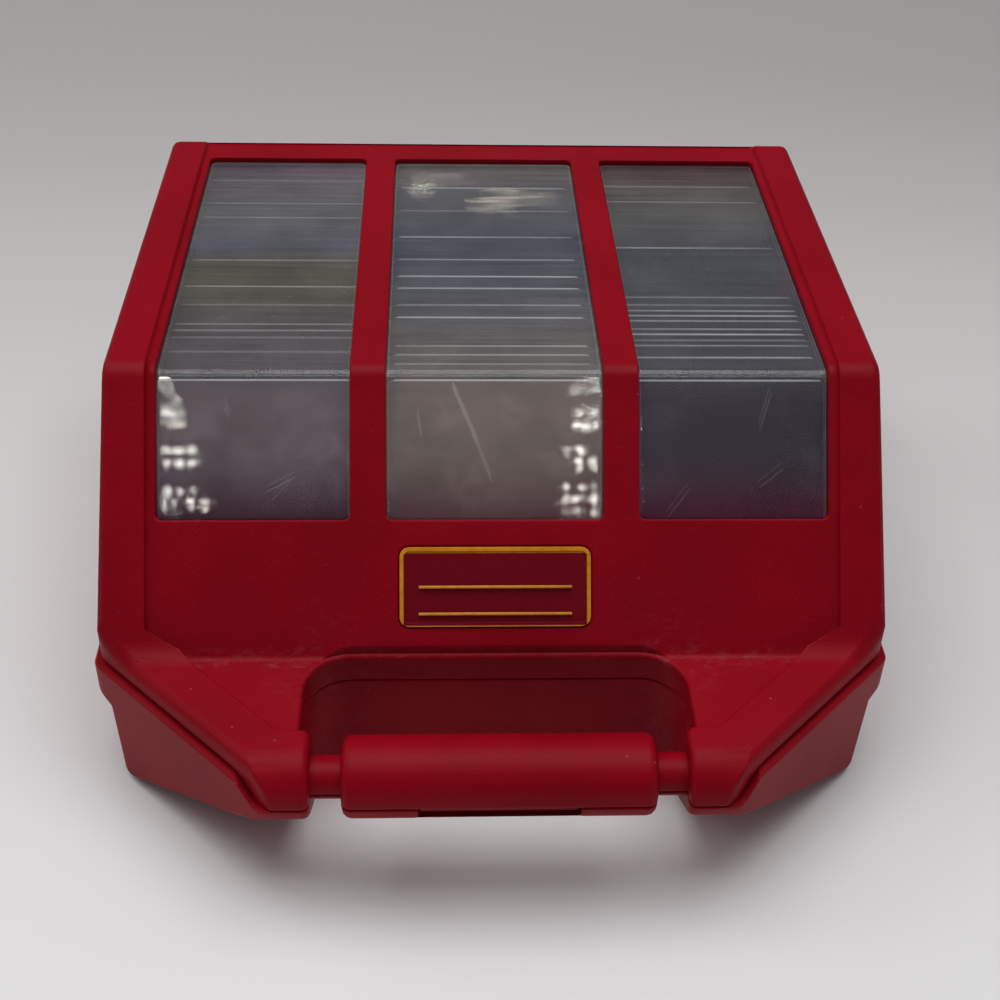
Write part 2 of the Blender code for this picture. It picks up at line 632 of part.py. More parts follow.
def window_band(name, x0, x1, grow, shallow, deep):
    """Solid along the panel's surface in the outline of a window opening, grown to every side, corners rounded."""
    back = FRAME_BACK + grow
    front = FRAME_FRONT + grow
    solid = prism_between(name, window_outline(back, front, shallow, deep), x0 - grow, x1 + grow)
    bm = bmesh.new()
    bm.from_mesh(solid.data)
    sides = [f for f in bm.faces if abs(f.normal.x) > 0.9]
    foot = slope_point(front)
    along = Vector((-math.cos(SLOPE_ANGLE), -math.sin(SLOPE_ANGLE)))

    def at_end(vert):
        down = (Vector((vert.co.y, vert.co.z)) - foot).dot(along)
        return abs(vert.co.y - BEND_Y - back) < BITE / 10 or abs(down) < BITE / 10

    edges = {e for f in sides for e in f.edges if all(at_end(v) for v in e.verts)}
    bmesh.ops.bevel(bm, geom=list(edges), offset=FRAME_CORNER_R + grow, offset_type="OFFSET", segments=3,
                    profile=0.5, affect="EDGES", clamp_overlap=False)
    bm.to_mesh(solid.data)
    bm.free()
    return solid


def window_pane(name, x0, x1, material):
    """Bent clear pane: a lens in the opening and a flange under the frame."""
    under = PANEL_WALL + FLANGE_GAP
    flange = window_band(name, x0, x1, FLANGE, under, under + PANE_WALL)
    lens = window_band("lens", x0, x1, -LENS_GAP, under - LENS_PROUD, under + PANE_WALL / 2)
    return finish(join(flange, lens), name, material)


def knuckle(name, x0, x1):
    """Round hinge knuckle about the hinge's axis."""
    return loft(name, [[(x, y, z) for y, z in arc((HINGE_Y, HINGE_Z), KNUCKLE_R, 0.0, 2 * math.pi)[:-1]]
                       for x in (x0, x1)])


def hinge_spans():
    """Spans in x of the lid's knuckles and of the lower shell's knuckles."""
    lid, base = [], []
    for side in (-1, 1):
        middle = side * HINGE_X
        inner = LID_KNUCKLE / 2
        lid.append((middle - inner, middle + inner))
        for way in (-1, 1):
            ends = sorted((middle + way * (inner + KNUCKLE_GAP), middle + way * (inner + KNUCKLE_GAP + BASE_KNUCKLE)))
            base.append(tuple(ends))
    return lid, base


def pin_hole(side):
    """Cutter for one hinge pin."""
    reach = LID_KNUCKLE / 2 + KNUCKLE_GAP + BASE_KNUCKLE + OVERRUN / 4
    hole = arc((HINGE_Y, HINGE_Z), PIN_R + PIN_FIT, 0.0, 2 * math.pi, FINE_ARC_STEP)[:-1]
    return prism_between("pin_hole", hole, side * HINGE_X - reach, side * HINGE_X + reach)


def badge_outline(half, height, radius):
    """Rounded rectangle in the front panel's own plane, across and up."""
    return rounded([(-half, -height / 2, radius), (half, -height / 2, radius), (half, height / 2, radius),
                    (-half, height / 2, radius)], FINE_ARC_STEP)


def on_slope(name, outline, deep, shallow):
    """Outline laid on the front slope round the badge's middle, between two drops from the panel's surface."""
    rings = []
    for drop in (deep, shallow):
        rings.append([(x, *slope_point(SLOPE_LENGTH - BADGE_UP - up, RAIL_SLOPE_RISE + drop)) for x, up in outline])
    return loft(name, rings)


def underside_slant():
    """Angle over the horizontal of the front underside, which runs from the floor into the round nose."""
    reach = Vector((NOSE_AHEAD - UNDERSIDE_START, NOSE_Z))
    return reach.angle(Vector((1, 0))) - math.asin(NOSE_R / reach.length)


def base_body():
    """Lower shell's outside without its rim, from the slanted front underside to the back."""
    slant = underside_slant()
    nose = arc((NOSE_Y, NOSE_Z), NOSE_R, 3 * math.pi / 2 - slant, math.pi - math.asin((RIM_Z - NOSE_Z) / NOSE_R))
    corners = [(base_back(RIM_Z), RIM_Z, 0.0), (base_back(0.0), 0.0, FLOOR_CORNER_R),
               (BEND_Y - UNDERSIDE_START, 0.0, UNDERSIDE_R)]
    return prism_x("base", rounded(corners + plain(nose)), base_half, FLOOR_EDGE_R, high=RIM_Z)


def base_hollow():
    """Space inside the lower shell."""
    slant = underside_slant()
    nose = arc((NOSE_Y, NOSE_Z), NOSE_R - HANDLE_WALL, 3 * math.pi / 2 - slant, math.pi)
    back = base_back(0.0) - BASE_WALL
    start = BEND_Y - UNDERSIDE_START + HANDLE_WALL / math.sin(slant) - FLOOR_WALL / math.tan(slant)
    corners = [(back, TOP_Z, 0.0), (back, FLOOR_WALL, FLOOR_EDGE_R), (start, FLOOR_WALL, UNDERSIDE_R)]
    corners += plain(nose) + [(NOSE_Y - NOSE_R + HANDLE_WALL, TOP_Z, 0.0)]
    hollow = prism_x("base_hollow", rounded(corners), base_inner_half)
    cut(hollow, *inside_tools(HANDLE_WALL))
    for side in (-1, 1):
        cut(hollow, chamfer_tool("inner_chamfer", side, CHAMFER_SUM - BASE_WALL * SQRT2,
                                 base_inner_half(TOP_Z) + BITE, lambda ahead: TOP_Z + OVERRUN / 2, BITE))
    return hollow


def rim_plan(half, back, front, radius):
    """Outline of the rim in (x, y), square at the front, where the nose takes over."""
    return rounded([(-half, front, 0.0), (half, front, 0.0), (half, back, radius), (-half, back, radius)])


def rim_band():
    """Thick band round the lower shell under the split, with a slanted underside."""
    low = RIM_Z - BAND_HEIGHT
    back = BEND_Y + TOP_DEPTH + RIM_BACK
    levels = [(low, base_half(low) - BITE, base_back(low) - BITE), (low + BAND_SLANT, RIM_HALF, back),
              (RIM_Z - RIM_EDGE_R, RIM_HALF, back), (RIM_Z, RIM_HALF - RIM_EDGE_R, back - RIM_EDGE_R)]
    return loft("band", [[(x, y, z) for x, y in rim_plan(half, end, NOSE_Y, BACK_CORNER_R)]
                         for z, half, end in levels])


def seat_block():
    """Raised seat under the lid's wall, a little inside the lid's outside."""
    half = lid_half(SPLIT_Z) - SEAT_INSET
    total = CHAMFER_SUM - SEAT_INSET * SQRT2
    back = lid_back(SPLIT_Z) - SEAT_INSET
    plan = [(half, back), (half, BEND_Y - total + half), (total - NOSE_AHEAD, NOSE_Y)]
    plan += [(-x, y) for x, y in reversed(plan)]
    return prism_z("seat", plan, RIM_Z - BITE, SPLIT_Z - SPLIT_GAP)


def base_tray(material):
    """Lower shell of the case."""
    shell = join(base_body(), rim_band(), seat_block())
    for side in (-1, 1):
        cut(shell, chamfer_tool("chamfer", side, CHAMFER_SUM + RIM_PROUD * SQRT2, RIM_HALF + BITE / 4,
                                lambda ahead: RIM_Z, RIM_EDGE_R))
    cut(shell, base_hollow(), recess_tool(RECESS_EDGE_R), ear_gap_tool())
    join(shell, handle_solid("handle"))
    cut(shell, prism_y("seam", seam_outline(SPLIT_GAP, True), NOSE_Y - NOSE_R - OVERRUN,
                       RECESS_Y + HANDLE_WALL + BITE))
    cut(shell, grip_hollow("grip_hollow"))
    slot_half = LATCH_HALF + LATCH_FIT
    cut(shell, box("latch_slot", (-slot_half, slot_half), (NOSE_Y - NOSE_R - OVERRUN, NOSE_Y - LATCH_SLOT_BACK),
                   (NOSE_Z - LATCH_LOW - LATCH_FIT, NOSE_Z)))
    for side in (-1, 1):
        inner = base_inner_half(SPLIT_Z) + TONGUE_WALL / 4
        ends = sorted((side * inner, side * (inner + TONGUE_WALL)))
        join(shell, box("tongue", ends, (BEND_Y - UNDERSIDE_START + TONGUE_FRONT_ROOM,
                                        BEND_Y + TOP_DEPTH - TONGUE_BACK_ROOM),
                        (RIM_Z, SPLIT_Z + TONGUE_RISE)))
    rim_back = BEND_Y + TOP_DEPTH + RIM_BACK
    for x0, x1 in hinge_spans()[1]:
        join(shell, join(knuckle("knuckle", x0, x1),
                         box("web", (x0, x1), (rim_back - BITE, HINGE_Y),
                             (HINGE_Z - KNUCKLE_R + BITE / 2, HINGE_Z - BITE))))
    for side in (-1, 1):
        cut(shell, pin_hole(side))
    return finish(shell, "base_tray", material)


def keeper():
    """Tongue that hangs from the lid's half of the grip behind the latch's pad, with a catch for its hook."""
    front = NOSE_Y - KEEPER_FRONT
    back = front + KEEPER_WALL
    low = NOSE_Z - LATCH_STEM_LOW + LATCH_STEM_WALL + LATCH_FIT
    outline = [(front, low), (front, NOSE_Z + KEEPER_ROOT), (back, NOSE_Z + KEEPER_ROOT),
               (back, low + KEEPER_NOSE_WALL), (back + KEEPER_NOSE, low + KEEPER_NOSE_WALL),
               (back + KEEPER_NOSE, low)]
    return prism_x("keeper", outline, LATCH_STEM_HALF)


def lid_shell(material):
    """Upper shell of the case."""
    shell = prism_x("lid", rail_outline(), lid_half, RAIL_EDGE_R, low=SEAM_Z)
    cut(shell, panel_tool())
    for side in (-1, 1):
        cut(shell, chamfer_tool("chamfer", side, CHAMFER_SUM, lid_half(SPLIT_Z) + BITE / 4, rail_height,
                                CHAMFER_EDGE_R))
    cut(shell, lid_hollow(), recess_tool(RECESS_EDGE_R), ear_gap_tool())
    parting = RECESS_Y + HANDLE_WALL + BITE
    cut(shell, box("split", (-RIM_HALF - OVERRUN, RIM_HALF + OVERRUN), (parting, HINGE_Y + OVERRUN),
                   (-OVERRUN, SPLIT_Z)))
    join(shell, handle_solid("handle"))
    cut(shell, prism_y("seam", seam_outline(0.0, False), NOSE_Y - NOSE_R - OVERRUN, parting + BITE))
    cut(shell, grip_hollow("grip_hollow"))
    for x0, x1 in FRAMES.values():
        cut(shell, window_band("opening", x0, x1, 0.0, -OVERRUN / 4, PANEL_WALL + BITE))
    pocket = badge_outline(BADGE_HALF + BADGE_GAP, BADGE_HEIGHT + 2 * BADGE_GAP, BADGE_R + BADGE_GAP)
    cut(shell, on_slope("pocket", pocket, BADGE_POCKET, -OVERRUN / 4))
    join(shell, keeper())
    for x0, x1 in hinge_spans()[0]:
        join(shell, join(knuckle("knuckle", x0, x1),
                         box("arm", (x0, x1), (lid_back(SPLIT_Z) - BITE, HINGE_Y),
                             (SPLIT_Z + ARM_LIFT, HINGE_Z + KNUCKLE_R - BITE / 4))))
    for side in (-1, 1):
        cut(shell, pin_hole(side))
    return finish(shell, "lid_shell", material)


def latch_slide(material):
    """Latch in the lower half of the grip: a pad in its slot, a stem, a post and a hook, pressed in."""
    low = NOSE_Z - LATCH_LOW
    high = SEAM_Z - LATCH_FIT
    steps = 5
    heights = [low + (high - low) * i / steps for i in range(steps + 1)]
    front = [(NOSE_Y - math.sqrt(NOSE_R ** 2 - (z - NOSE_Z) ** 2) + LATCH_TRAVEL, z) for z in heights]
    pad_back = NOSE_Y - LATCH_PAD_BACK
    pad = prism_x("pad", front + [(pad_back, high), (pad_back, low)], LATCH_HALF)
    stem_low = NOSE_Z - LATCH_STEM_LOW
    stem_top = stem_low + LATCH_STEM_WALL
    hook_low = stem_top + LATCH_FIT + KEEPER_NOSE_WALL + LATCH_FIT
    hook_top = hook_low + LATCH_HOOK_WALL
    hook_front = NOSE_Y - KEEPER_FRONT + KEEPER_WALL + KEEPER_NOSE + KEEPER_GAP
    post_front = hook_front + LATCH_HOOK_REACH
    post_back = post_front + LATCH_POST_WALL
    outline = [(pad_back - BITE, stem_low), (post_back, stem_low), (post_back, hook_top), (hook_front, hook_top),
               (hook_front, hook_low), (post_front, hook_low), (post_front, stem_top), (pad_back - BITE, stem_top)]
    return finish(join(pad, prism_x("stem", outline, LATCH_STEM_HALF)), "latch_slide", material)


def badge_plate(material):
    """Blank plate in its pocket on the front panel, with a raised border."""
    floor = BADGE_POCKET - BADGE_GAP
    plate = on_slope("badge", badge_outline(BADGE_HALF, BADGE_HEIGHT, BADGE_R), floor, floor - BADGE_WALL)
    field = badge_outline(BADGE_HALF - BADGE_BORDER, BADGE_HEIGHT - 2 * BADGE_BORDER, BADGE_R - BADGE_BORDER)
    face = floor - BADGE_WALL
    cut(plate, on_slope("field", field, face + BADGE_FIELD_DROP, face - OVERRUN / 4))
    return finish(plate, "badge_plate", material)


def hinge_pin(name, side, material):
    """Steel pin through the knuckles of one hinge."""
    reach = LID_KNUCKLE / 2 + KNUCKLE_GAP + BASE_KNUCKLE - PIN_END_INSET
    ring = arc((HINGE_Y, HINGE_Z), PIN_R, 0.0, 2 * math.pi, FINE_ARC_STEP)[:-1]
    return finish(prism_between("pin", ring, side * HINGE_X - reach, side * HINGE_X + reach), name, material)


def lane_tray(material):
    """Insert that parts the case into three rows."""
    half = 3 * LANE_WIDTH / 2 + 2 * LANE_WALL
    tray = box("tray", (-half, half), (LANE_FRONT_Y - LANE_WALL, LANE_BACK_Y + LANE_WALL),
               (FLOOR_WALL + SEAT_GAP, LANE_FLOOR_Z + LANE_HEIGHT))
    for middle in LANES.values():
        x0 = middle - LANE_WIDTH / 2
        x1 = middle + LANE_WIDTH / 2
        lane = rounded([(x0, LANE_FRONT_Y, LANE_CORNER_R), (x1, LANE_FRONT_Y, LANE_CORNER_R),
                        (x1, LANE_BACK_Y, LANE_CORNER_R), (x0, LANE_BACK_Y, LANE_CORNER_R)], FINE_ARC_STEP)
        cut(tray, prism_z("lane", lane, LANE_FLOOR_Z, TOP_Z))
    return finish(tray, "lane_tray", material)


def divider_foot(share):
    """Y of a divider's bottom front edge."""
    return BEND_Y - FIRST_DIVIDER + share * DIVIDER_RUN


def divider(name, row, share, material):
    """Clear index divider, leaning back, with its origin on the bottom front edge it tips over."""
    half = LANE_WIDTH / 2 - DIVIDER_SIDE_GAP
    face = rounded([(-half, 0.0, 0.0), (half, 0.0, 0.0), (half, DIVIDER_HEIGHT, DIVIDER_CORNER_R),
                    (-half, DIVIDER_HEIGHT, DIVIDER_CORNER_R)], FINE_ARC_STEP)
    plate = loft(name, [[(x, y, z) for x, z in face] for y in (0.0, DIVIDER_WALL)])
    plate.location = (LANES[row], divider_foot(share), LANE_FLOOR_Z + SEAT_GAP + DIVIDER_WALL * math.sin(LEAN))
    plate.rotation_euler.x = -LEAN
    return finish(plate, name, material)


def pack_span(row, index, share):
    """Front edge and depth of a pack of cards behind a divider."""
    shares = DIVIDER_SHARES[row]
    front = divider_foot(shares[index]) + DIVIDER_WALL / math.cos(LEAN) + CARD_GAP
    if index + 1 < len(shares):
        space = divider_foot(shares[index + 1]) - front
    else:
        space = LANE_BACK_Y - LANE_HEIGHT * math.tan(LEAN) - front
    return front, (space - CARD_GAP) * share


def card_pack(name, row, index, share, material):
    """Pack of cards that leans back with its divider, with its origin on its bottom front edge."""
    front, depth = pack_span(row, index, share)
    shift = CARD_HEIGHT * math.tan(LEAN)
    half = CARD_WIDTH / 2
    side = [(0.0, 0.0), (depth, 0.0), (depth + shift, CARD_HEIGHT), (shift, CARD_HEIGHT)]
    pack = loft(name, [[(x, y, z) for y, z in side] for x in (-half, half)])
    pack.location = (LANES[row], front, LANE_FLOOR_Z + SEAT_GAP)
    return finish(pack, name, material)


def carrier(name, location, pieces):
    """Empty on a joint's axis that carries the pieces moving with it."""
    empty = bpy.data.objects.new(name, None)
    empty.location = location
    bpy.context.scene.collection.objects.link(empty)
    for piece in pieces:
        piece.parent = empty
        piece.matrix_parent_inverse = Matrix.Translation(location).inverted()
    return empty


def main():
    for obj in list(bpy.data.objects):
        bpy.data.objects.remove(obj)
    red = surface("red_shell", (0.25, 0.004, 0.018), 0.45)
    dark_red = surface("dark_red", (0.16, 0.002, 0.012), 0.5)
    clear = surface("clear_window", (0.75, 0.78, 0.80), 0.08, alpha=0.35)
    ochre = surface("badge_ochre", (0.55, 0.27, 0.03), 0.4)
    grey = surface("insert_grey", (0.20, 0.21, 0.23), 0.5)
    smoke = surface("divider_clear", (0.62, 0.66, 0.70), 0.15, alpha=0.4)
    card = surface("card_stock", (0.10, 0.12, 0.20), 0.6)
    steel = surface("pin_steel", (0.60, 0.60, 0.60), 0.3, metallic=1.0)
    base_tray(red)
    lid_pieces = [lid_shell(red), badge_plate(ochre)]
    lid_pieces += [window_pane(f"window_{row}", x0, x1, clear) for row, (x0, x1) in FRAMES.items()]
    latch = latch_slide(dark_red)
    for row, side in (("left", -1), ("right", 1)):
        hinge_pin(f"hinge_pin_{row}", side, steel)
    lane_tray(grey)
    for row, shares in DIVIDER_SHARES.items():
        for i, share in enumerate(shares):
            divider(f"divider_{row}_{i + 1:02d}", row, share, smoke)
    for row, packs in PACK_SHARES.items():
        for i, (index, share) in enumerate(packs):
            card_pack(f"cards_{row}_{i + 1:02d}", row, index, share, card)
    carrier("lid_axis", (0.0, HINGE_Y, HINGE_Z), lid_pieces)
    carrier("latch_axis", (0.0, NOSE_Y, NOSE_Z), [latch])


main()
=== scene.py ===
"""Looks of the three-row card storage case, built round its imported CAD.

Metres, in the CAD's own frame: +Z up, +Y towards the hinge, origin on the floor under the middle of the case.
"""
import json
import math
import random

import bmesh
import bpy
from mathutils import Matrix, Vector

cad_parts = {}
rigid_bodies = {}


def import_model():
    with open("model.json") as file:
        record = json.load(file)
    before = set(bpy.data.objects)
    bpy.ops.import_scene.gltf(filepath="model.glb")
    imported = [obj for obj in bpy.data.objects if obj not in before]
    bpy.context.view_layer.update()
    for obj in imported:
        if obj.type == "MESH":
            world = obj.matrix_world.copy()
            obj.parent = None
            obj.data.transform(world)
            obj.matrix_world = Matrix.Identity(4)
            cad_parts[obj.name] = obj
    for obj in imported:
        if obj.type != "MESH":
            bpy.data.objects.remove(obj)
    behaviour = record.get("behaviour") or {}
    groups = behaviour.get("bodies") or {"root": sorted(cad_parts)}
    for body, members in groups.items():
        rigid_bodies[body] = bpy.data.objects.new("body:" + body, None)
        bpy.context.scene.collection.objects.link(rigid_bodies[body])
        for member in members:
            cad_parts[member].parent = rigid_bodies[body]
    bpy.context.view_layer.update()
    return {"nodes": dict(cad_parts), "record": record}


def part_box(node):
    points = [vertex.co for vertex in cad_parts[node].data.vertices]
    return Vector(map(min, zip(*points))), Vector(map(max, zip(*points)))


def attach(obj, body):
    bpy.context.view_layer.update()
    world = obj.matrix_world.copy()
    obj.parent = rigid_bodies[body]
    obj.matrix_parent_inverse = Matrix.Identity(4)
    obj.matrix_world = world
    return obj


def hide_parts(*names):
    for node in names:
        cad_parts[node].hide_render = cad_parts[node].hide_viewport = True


MM = 0.001

# Where the CAD's main features are
BEND_Y = -35.95 * MM                 # line where the flat top turns into the steep front
TOP_Z = 125 * MM
SLOPE = math.radians(51.7)
LEDGE_Z = 54.5 * MM
SLOPE_FOOT_Y = BEND_Y - (TOP_Z - LEDGE_Z) / math.tan(SLOPE)
NOSE_Y = -130.35 * MM                 # axis of the round grip
RECESS_HALF = 59 * MM                 # half width of the hand opening
EAR_INNER = 55.5 * MM                 # inner faces of the ears, from the middle
SEAM_Z = 41.2 * MM                    # where lid and lower shell meet at the front
WALL = 3 * MM                         # thickness of the front panel
ROW_LENGTH = 165 * MM                 # from the bend to the back of the windows
SHEET_HALF = 35 * MM                  # half width of a divider, just inside its sides
SHEET_TOP = 112.8 * MM                # top edge of a divider
CARD_LEAN = math.radians(6)
CARD_STEP = 0.42 * MM                 # one card and the air beside it
WELD = 0.08 * MM                      # points closer than this become one
ROWS = {"left": -74.4 * MM, "centre": 0.0, "right": 74.4 * MM}
DIVIDERS = {"left": 11, "centre": 12, "right": 14}
PACKS = {"left": 3, "centre": 3, "right": 2}


# Finishes

class Value:
    """Number at a socket. Sums on it add Math nodes to its finish."""

    def __init__(self, finish, socket):
        self.finish = finish
        self.socket = socket

    def _sum(self, operation, first, second=0.0):
        node = self.finish.node("ShaderNodeMath", {"operation": operation}, {0: first, 1: second})
        return Value(self.finish, node.outputs[0])

    def __add__(self, other):
        return self._sum("ADD", self, other)

    __radd__ = __add__

    def __sub__(self, other):
        return self._sum("SUBTRACT", self, other)

    def __rsub__(self, other):
        return self._sum("SUBTRACT", other, self)

    def __mul__(self, other):
        return self._sum("MULTIPLY", self, other)

    __rmul__ = __mul__

    def __pow__(self, other):
        return self._sum("POWER", self, other)

    def __abs__(self):
        return self._sum("ABSOLUTE", self)

    def lesser(self, other):
        """Smaller of two numbers."""
        return self._sum("MINIMUM", self, other)

    def greater(self, other):
        """Larger of two numbers."""
        return self._sum("MAXIMUM", self, other)

    def rise(self, low, high):
        """0 up to low, 1 from high on, smooth between. With low over high it falls."""
        flip = low > high
        ends = {"From Min": min(low, high), "From Max": max(low, high)}
        if flip:
            ends.update({"To Min": 1.0, "To Max": 0.0})
        node = self.finish.node("ShaderNodeMapRange", {"interpolation_type": "SMOOTHSTEP"}, {"Value": self, **ends})
        return Value(self.finish, node.outputs["Result"])

    def band(self, middle, half, soft):
        """1 within half of a middle value, falling to 0 over soft."""
        return abs(self - middle).rise(half + soft, half)


class Finish:
    """One material on a Principled shader."""

    def __init__(self, name, **constants):
        self.material = bpy.data.materials.new(name)
        self.material.use_nodes = True
        self.tree = self.material.node_tree
        self.shader = self.tree.nodes["Principled BSDF"]
        self.place = self.node("ShaderNodeTexCoord").outputs["Object"]
        axes = self.node("ShaderNodeSeparateXYZ", None, {0: self.place})
        self.x, self.y, self.z = (Value(self, axes.outputs[i]) for i in range(3))
        for socket, value in constants.items():
            self.set(socket.replace("_", " "), value)

    def node(self, kind, settings=None, sockets=None):
        """Adds a node: first its settings, then the values or links of its sockets."""
        node = self.tree.nodes.new(kind)
        for name, value in (settings or {}).items():
            if name == "stops":
                self._stops(node.color_ramp, value)
            else:
                setattr(node, name, value)
        for name, value in (sockets or {}).items():
            self.feed(node.inputs[name], value)
        return node

    def _stops(self, ramp, stops):
        while len(ramp.elements) < len(stops):
            ramp.elements.new(1.0)
        for element, (place, colour) in zip(ramp.elements, stops):
            element.position = place
            element.color = (*colour, 1.0)

    def feed(self, socket, value):
        """Sets a socket, or links to it."""
        if isinstance(value, Value):
            value = value.socket
        if isinstance(value, bpy.types.NodeSocket):
            self.tree.links.new(value, socket)
        elif isinstance(value, tuple) and len(value) == 3 and socket.type == "RGBA":
            socket.default_value = (*value, 1.0)
        else:
            socket.default_value = value

    def set(self, name, value):
        """Feeds one socket of the shader."""
        self.feed(self.shader.inputs[name], value)

    def stretched(self, stretch, shift=(0.0, 0.0, 0.0)):
        """Place, stretched along the axes and moved."""
        node = self.node("ShaderNodeMapping", None, {"Vector": self.place, "Scale": stretch, "Location": shift})
        return node.outputs[0]

    def noise(self, size, detail=3.0, rough=0.5, stretch=None, shift=(0.0, 0.0, 0.0)):
        """Cloudy number from 0 to 1 whose lumps have a size."""
        place = self.stretched(stretch or (1.0, 1.0, 1.0), shift) if stretch or any(shift) else self.place
        node = self.node("ShaderNodeTexNoise", None,
                         {"Vector": place, "Scale": 1 / size, "Detail": detail, "Roughness": rough})
        return Value(self, node.outputs["Fac"])

    def cells(self, size):
        """Distance from the middle of the nearest cell, in cells."""
        node = self.node("ShaderNodeTexVoronoi", None, {"Vector": self.place, "Scale": 1 / size})
        return Value(self, node.outputs["Distance"])

    def mix(self, share, first, second):
        """Colour between two colours."""
        node = self.node("ShaderNodeMix", {"data_type": "RGBA"}, {0: share, 6: first, 7: second})
        return node.outputs[2]

    def ramp(self, value, stops):
        """Colour along a row of stops."""
        node = self.node("ShaderNodeValToRGB", {"stops": stops}, {0: value})
        return node.outputs[0]

    def bump(self, height, depth, strength=1.0, under=None):
        """Feeds Normal from a height in 0 to 1 that stands for a depth."""
        sockets = {"Height": height, "Distance": depth, "Strength": strength}
        if under:
            sockets["Normal"] = under
        node = self.node("ShaderNodeBump", None, sockets)
        return node.outputs[0]

    def specks(self, spacing, size, share):
        """Scattered specks: 1 inside the few cells' middles that hold one."""
        node = self.node("ShaderNodeTexVoronoi", None, {"Vector": self.place, "Scale": 1 / spacing})
        distance = Value(self, node.outputs["Distance"])
        pick = self.node("ShaderNodeSeparateXYZ", None, {0: node.outputs["Color"]})
        chosen = Value(self, pick.outputs[0]).rise(1 - share, 1 - share + 0.01)
        return distance.rise(size / spacing, size / spacing / 2) * chosen

    def line(self, across, along, start, end, half, soft):
        """Straight scratch between two points in the plane of two axes."""
        run = Vector(end) - Vector(start)
        step = run.normalized()
        reach = (across - start[0]) * step.x + (along - start[1]) * step.y
        aside = (across - start[0]) * -step.y + (along - start[1]) * step.x
        ends = reach.band(run.length / 2, run.length / 2 - 6 * soft, 6 * soft)
        return abs(aside).rise(half + soft, half) * ends


RED = (0.262, 0.0010, 0.0085)
RED_DEEP = (0.215, 0.0006, 0.0062)
SHEEN = (0.34, 0.012, 0.040)          # lit side of the grain
# pale dust; also the colour of the painted highlight along the fold at the foot of the front
PALE_DUST_AND_HIGHLIGHT = (0.42, 0.17, 0.20)


def shell_plastic(name, colour, deep, grain_height, dusty):
    """Moulded plastic with a fine pebbled grain and a painted sheen on its lit side, faint dust, scuffing where hands
    rub, and a painted highlight along the fold at the foot of the front.
    """
    finish = Finish(name, IOR=1.45, Specular_IOR_Level=0.09)
    clouds = finish.noise(38 * MM, 3.0)
    mottle = finish.noise(2.4 * MM, 2.0)
    body = finish.mix(clouds.rise(0.30, 0.72), colour, deep)
    body = finish.mix(mottle.rise(0.35, 0.75) * 0.25, body, deep)
    panel = finish.y.rise(BEND_Y + 2 * MM, BEND_Y - 8 * MM) * finish.z.rise(LEDGE_Z - 1 * MM, LEDGE_Z + 3 * MM)
    # painted highlight: a pale line along the fold where the steep front meets the ledge
    painted_fold_highlight = finish.z.band(LEDGE_Z - 2 * MM, 1.0 * MM, 2.2 * MM) * abs(finish.x).rise(106 * MM, 96 * MM)
    painted_fold_highlight = painted_fold_highlight * abs(finish.y - SLOPE_FOOT_Y).rise(5 * MM, 2 * MM)
    corner = Vector((RECESS_HALF - 6 * MM, SLOPE_FOOT_Y - 6 * MM))
    rub = ((abs(finish.x) - corner.x) ** 2 + (finish.y - corner.y) ** 2) ** 0.5
    rubbed = rub.rise(24 * MM, 6 * MM)
    fibres = finish.noise(5 * MM, 6.0, 0.75, stretch=(1.0, 2.2, 1.6))
    # worn scuffing round the hand opening, and the painted fold highlight, broken up by fibres
    scuffing_and_fold_highlight = (painted_fold_highlight * 0.5 + rubbed * 0.28) * fibres.rise(0.46, 0.80)
    ledge = finish.z.band(LEDGE_Z, 1 * MM, 1 * MM) * finish.y.rise(SLOPE_FOOT_Y - 1 * MM, SLOPE_FOOT_Y - 3 * MM)
    film = finish.noise(24 * MM, 5.0, 0.65).rise(0.55, 0.85) * (1 - ledge) * 0.012
    specks = finish.specks(6.5 * MM, 0.34 * MM, 0.38) * 0.50 + finish.specks(2.9 * MM, 0.17 * MM, 0.30) * 0.35
    grains = finish.noise(0.55 * MM, 2.0, 0.6)
    # painted sheen: grains take the lit colour, most on the steep front panel and least on the ledge
    painted_grain_sheen = grains.rise(0.55, 0.85) * (panel * 0.30 + (1 - ledge) * 0.10)
    # pale colour: dust film and specks, worn scuffing, and the painted fold highlight
    pale = (scuffing_and_fold_highlight * 0.36 + film + specks).lesser(0.8) * dusty
    finish.set("Base Color", finish.mix(pale, finish.mix(painted_grain_sheen, body, SHEEN), PALE_DUST_AND_HIGHLIGHT))
    finish.set("Roughness", 0.40 + clouds * 0.07 + pale * 0.35 + panel * 0.06)
    pebbles = finish.cells(0.95 * MM) * 0.5 + finish.noise(0.7 * MM, 3.0, 0.55) * 0.9
    fine = finish.noise(0.42 * MM, 2.0, 0.5)
    height = pebbles * panel * 1.0 + fine * 0.75 + pebbles * 0.30
    waves = finish.bump(finish.noise(26 * MM, 1.0), 0.9 * MM, 0.18)
    finish.set("Normal", finish.bump(height, grain_height, 0.42, waves))
    return finish.material


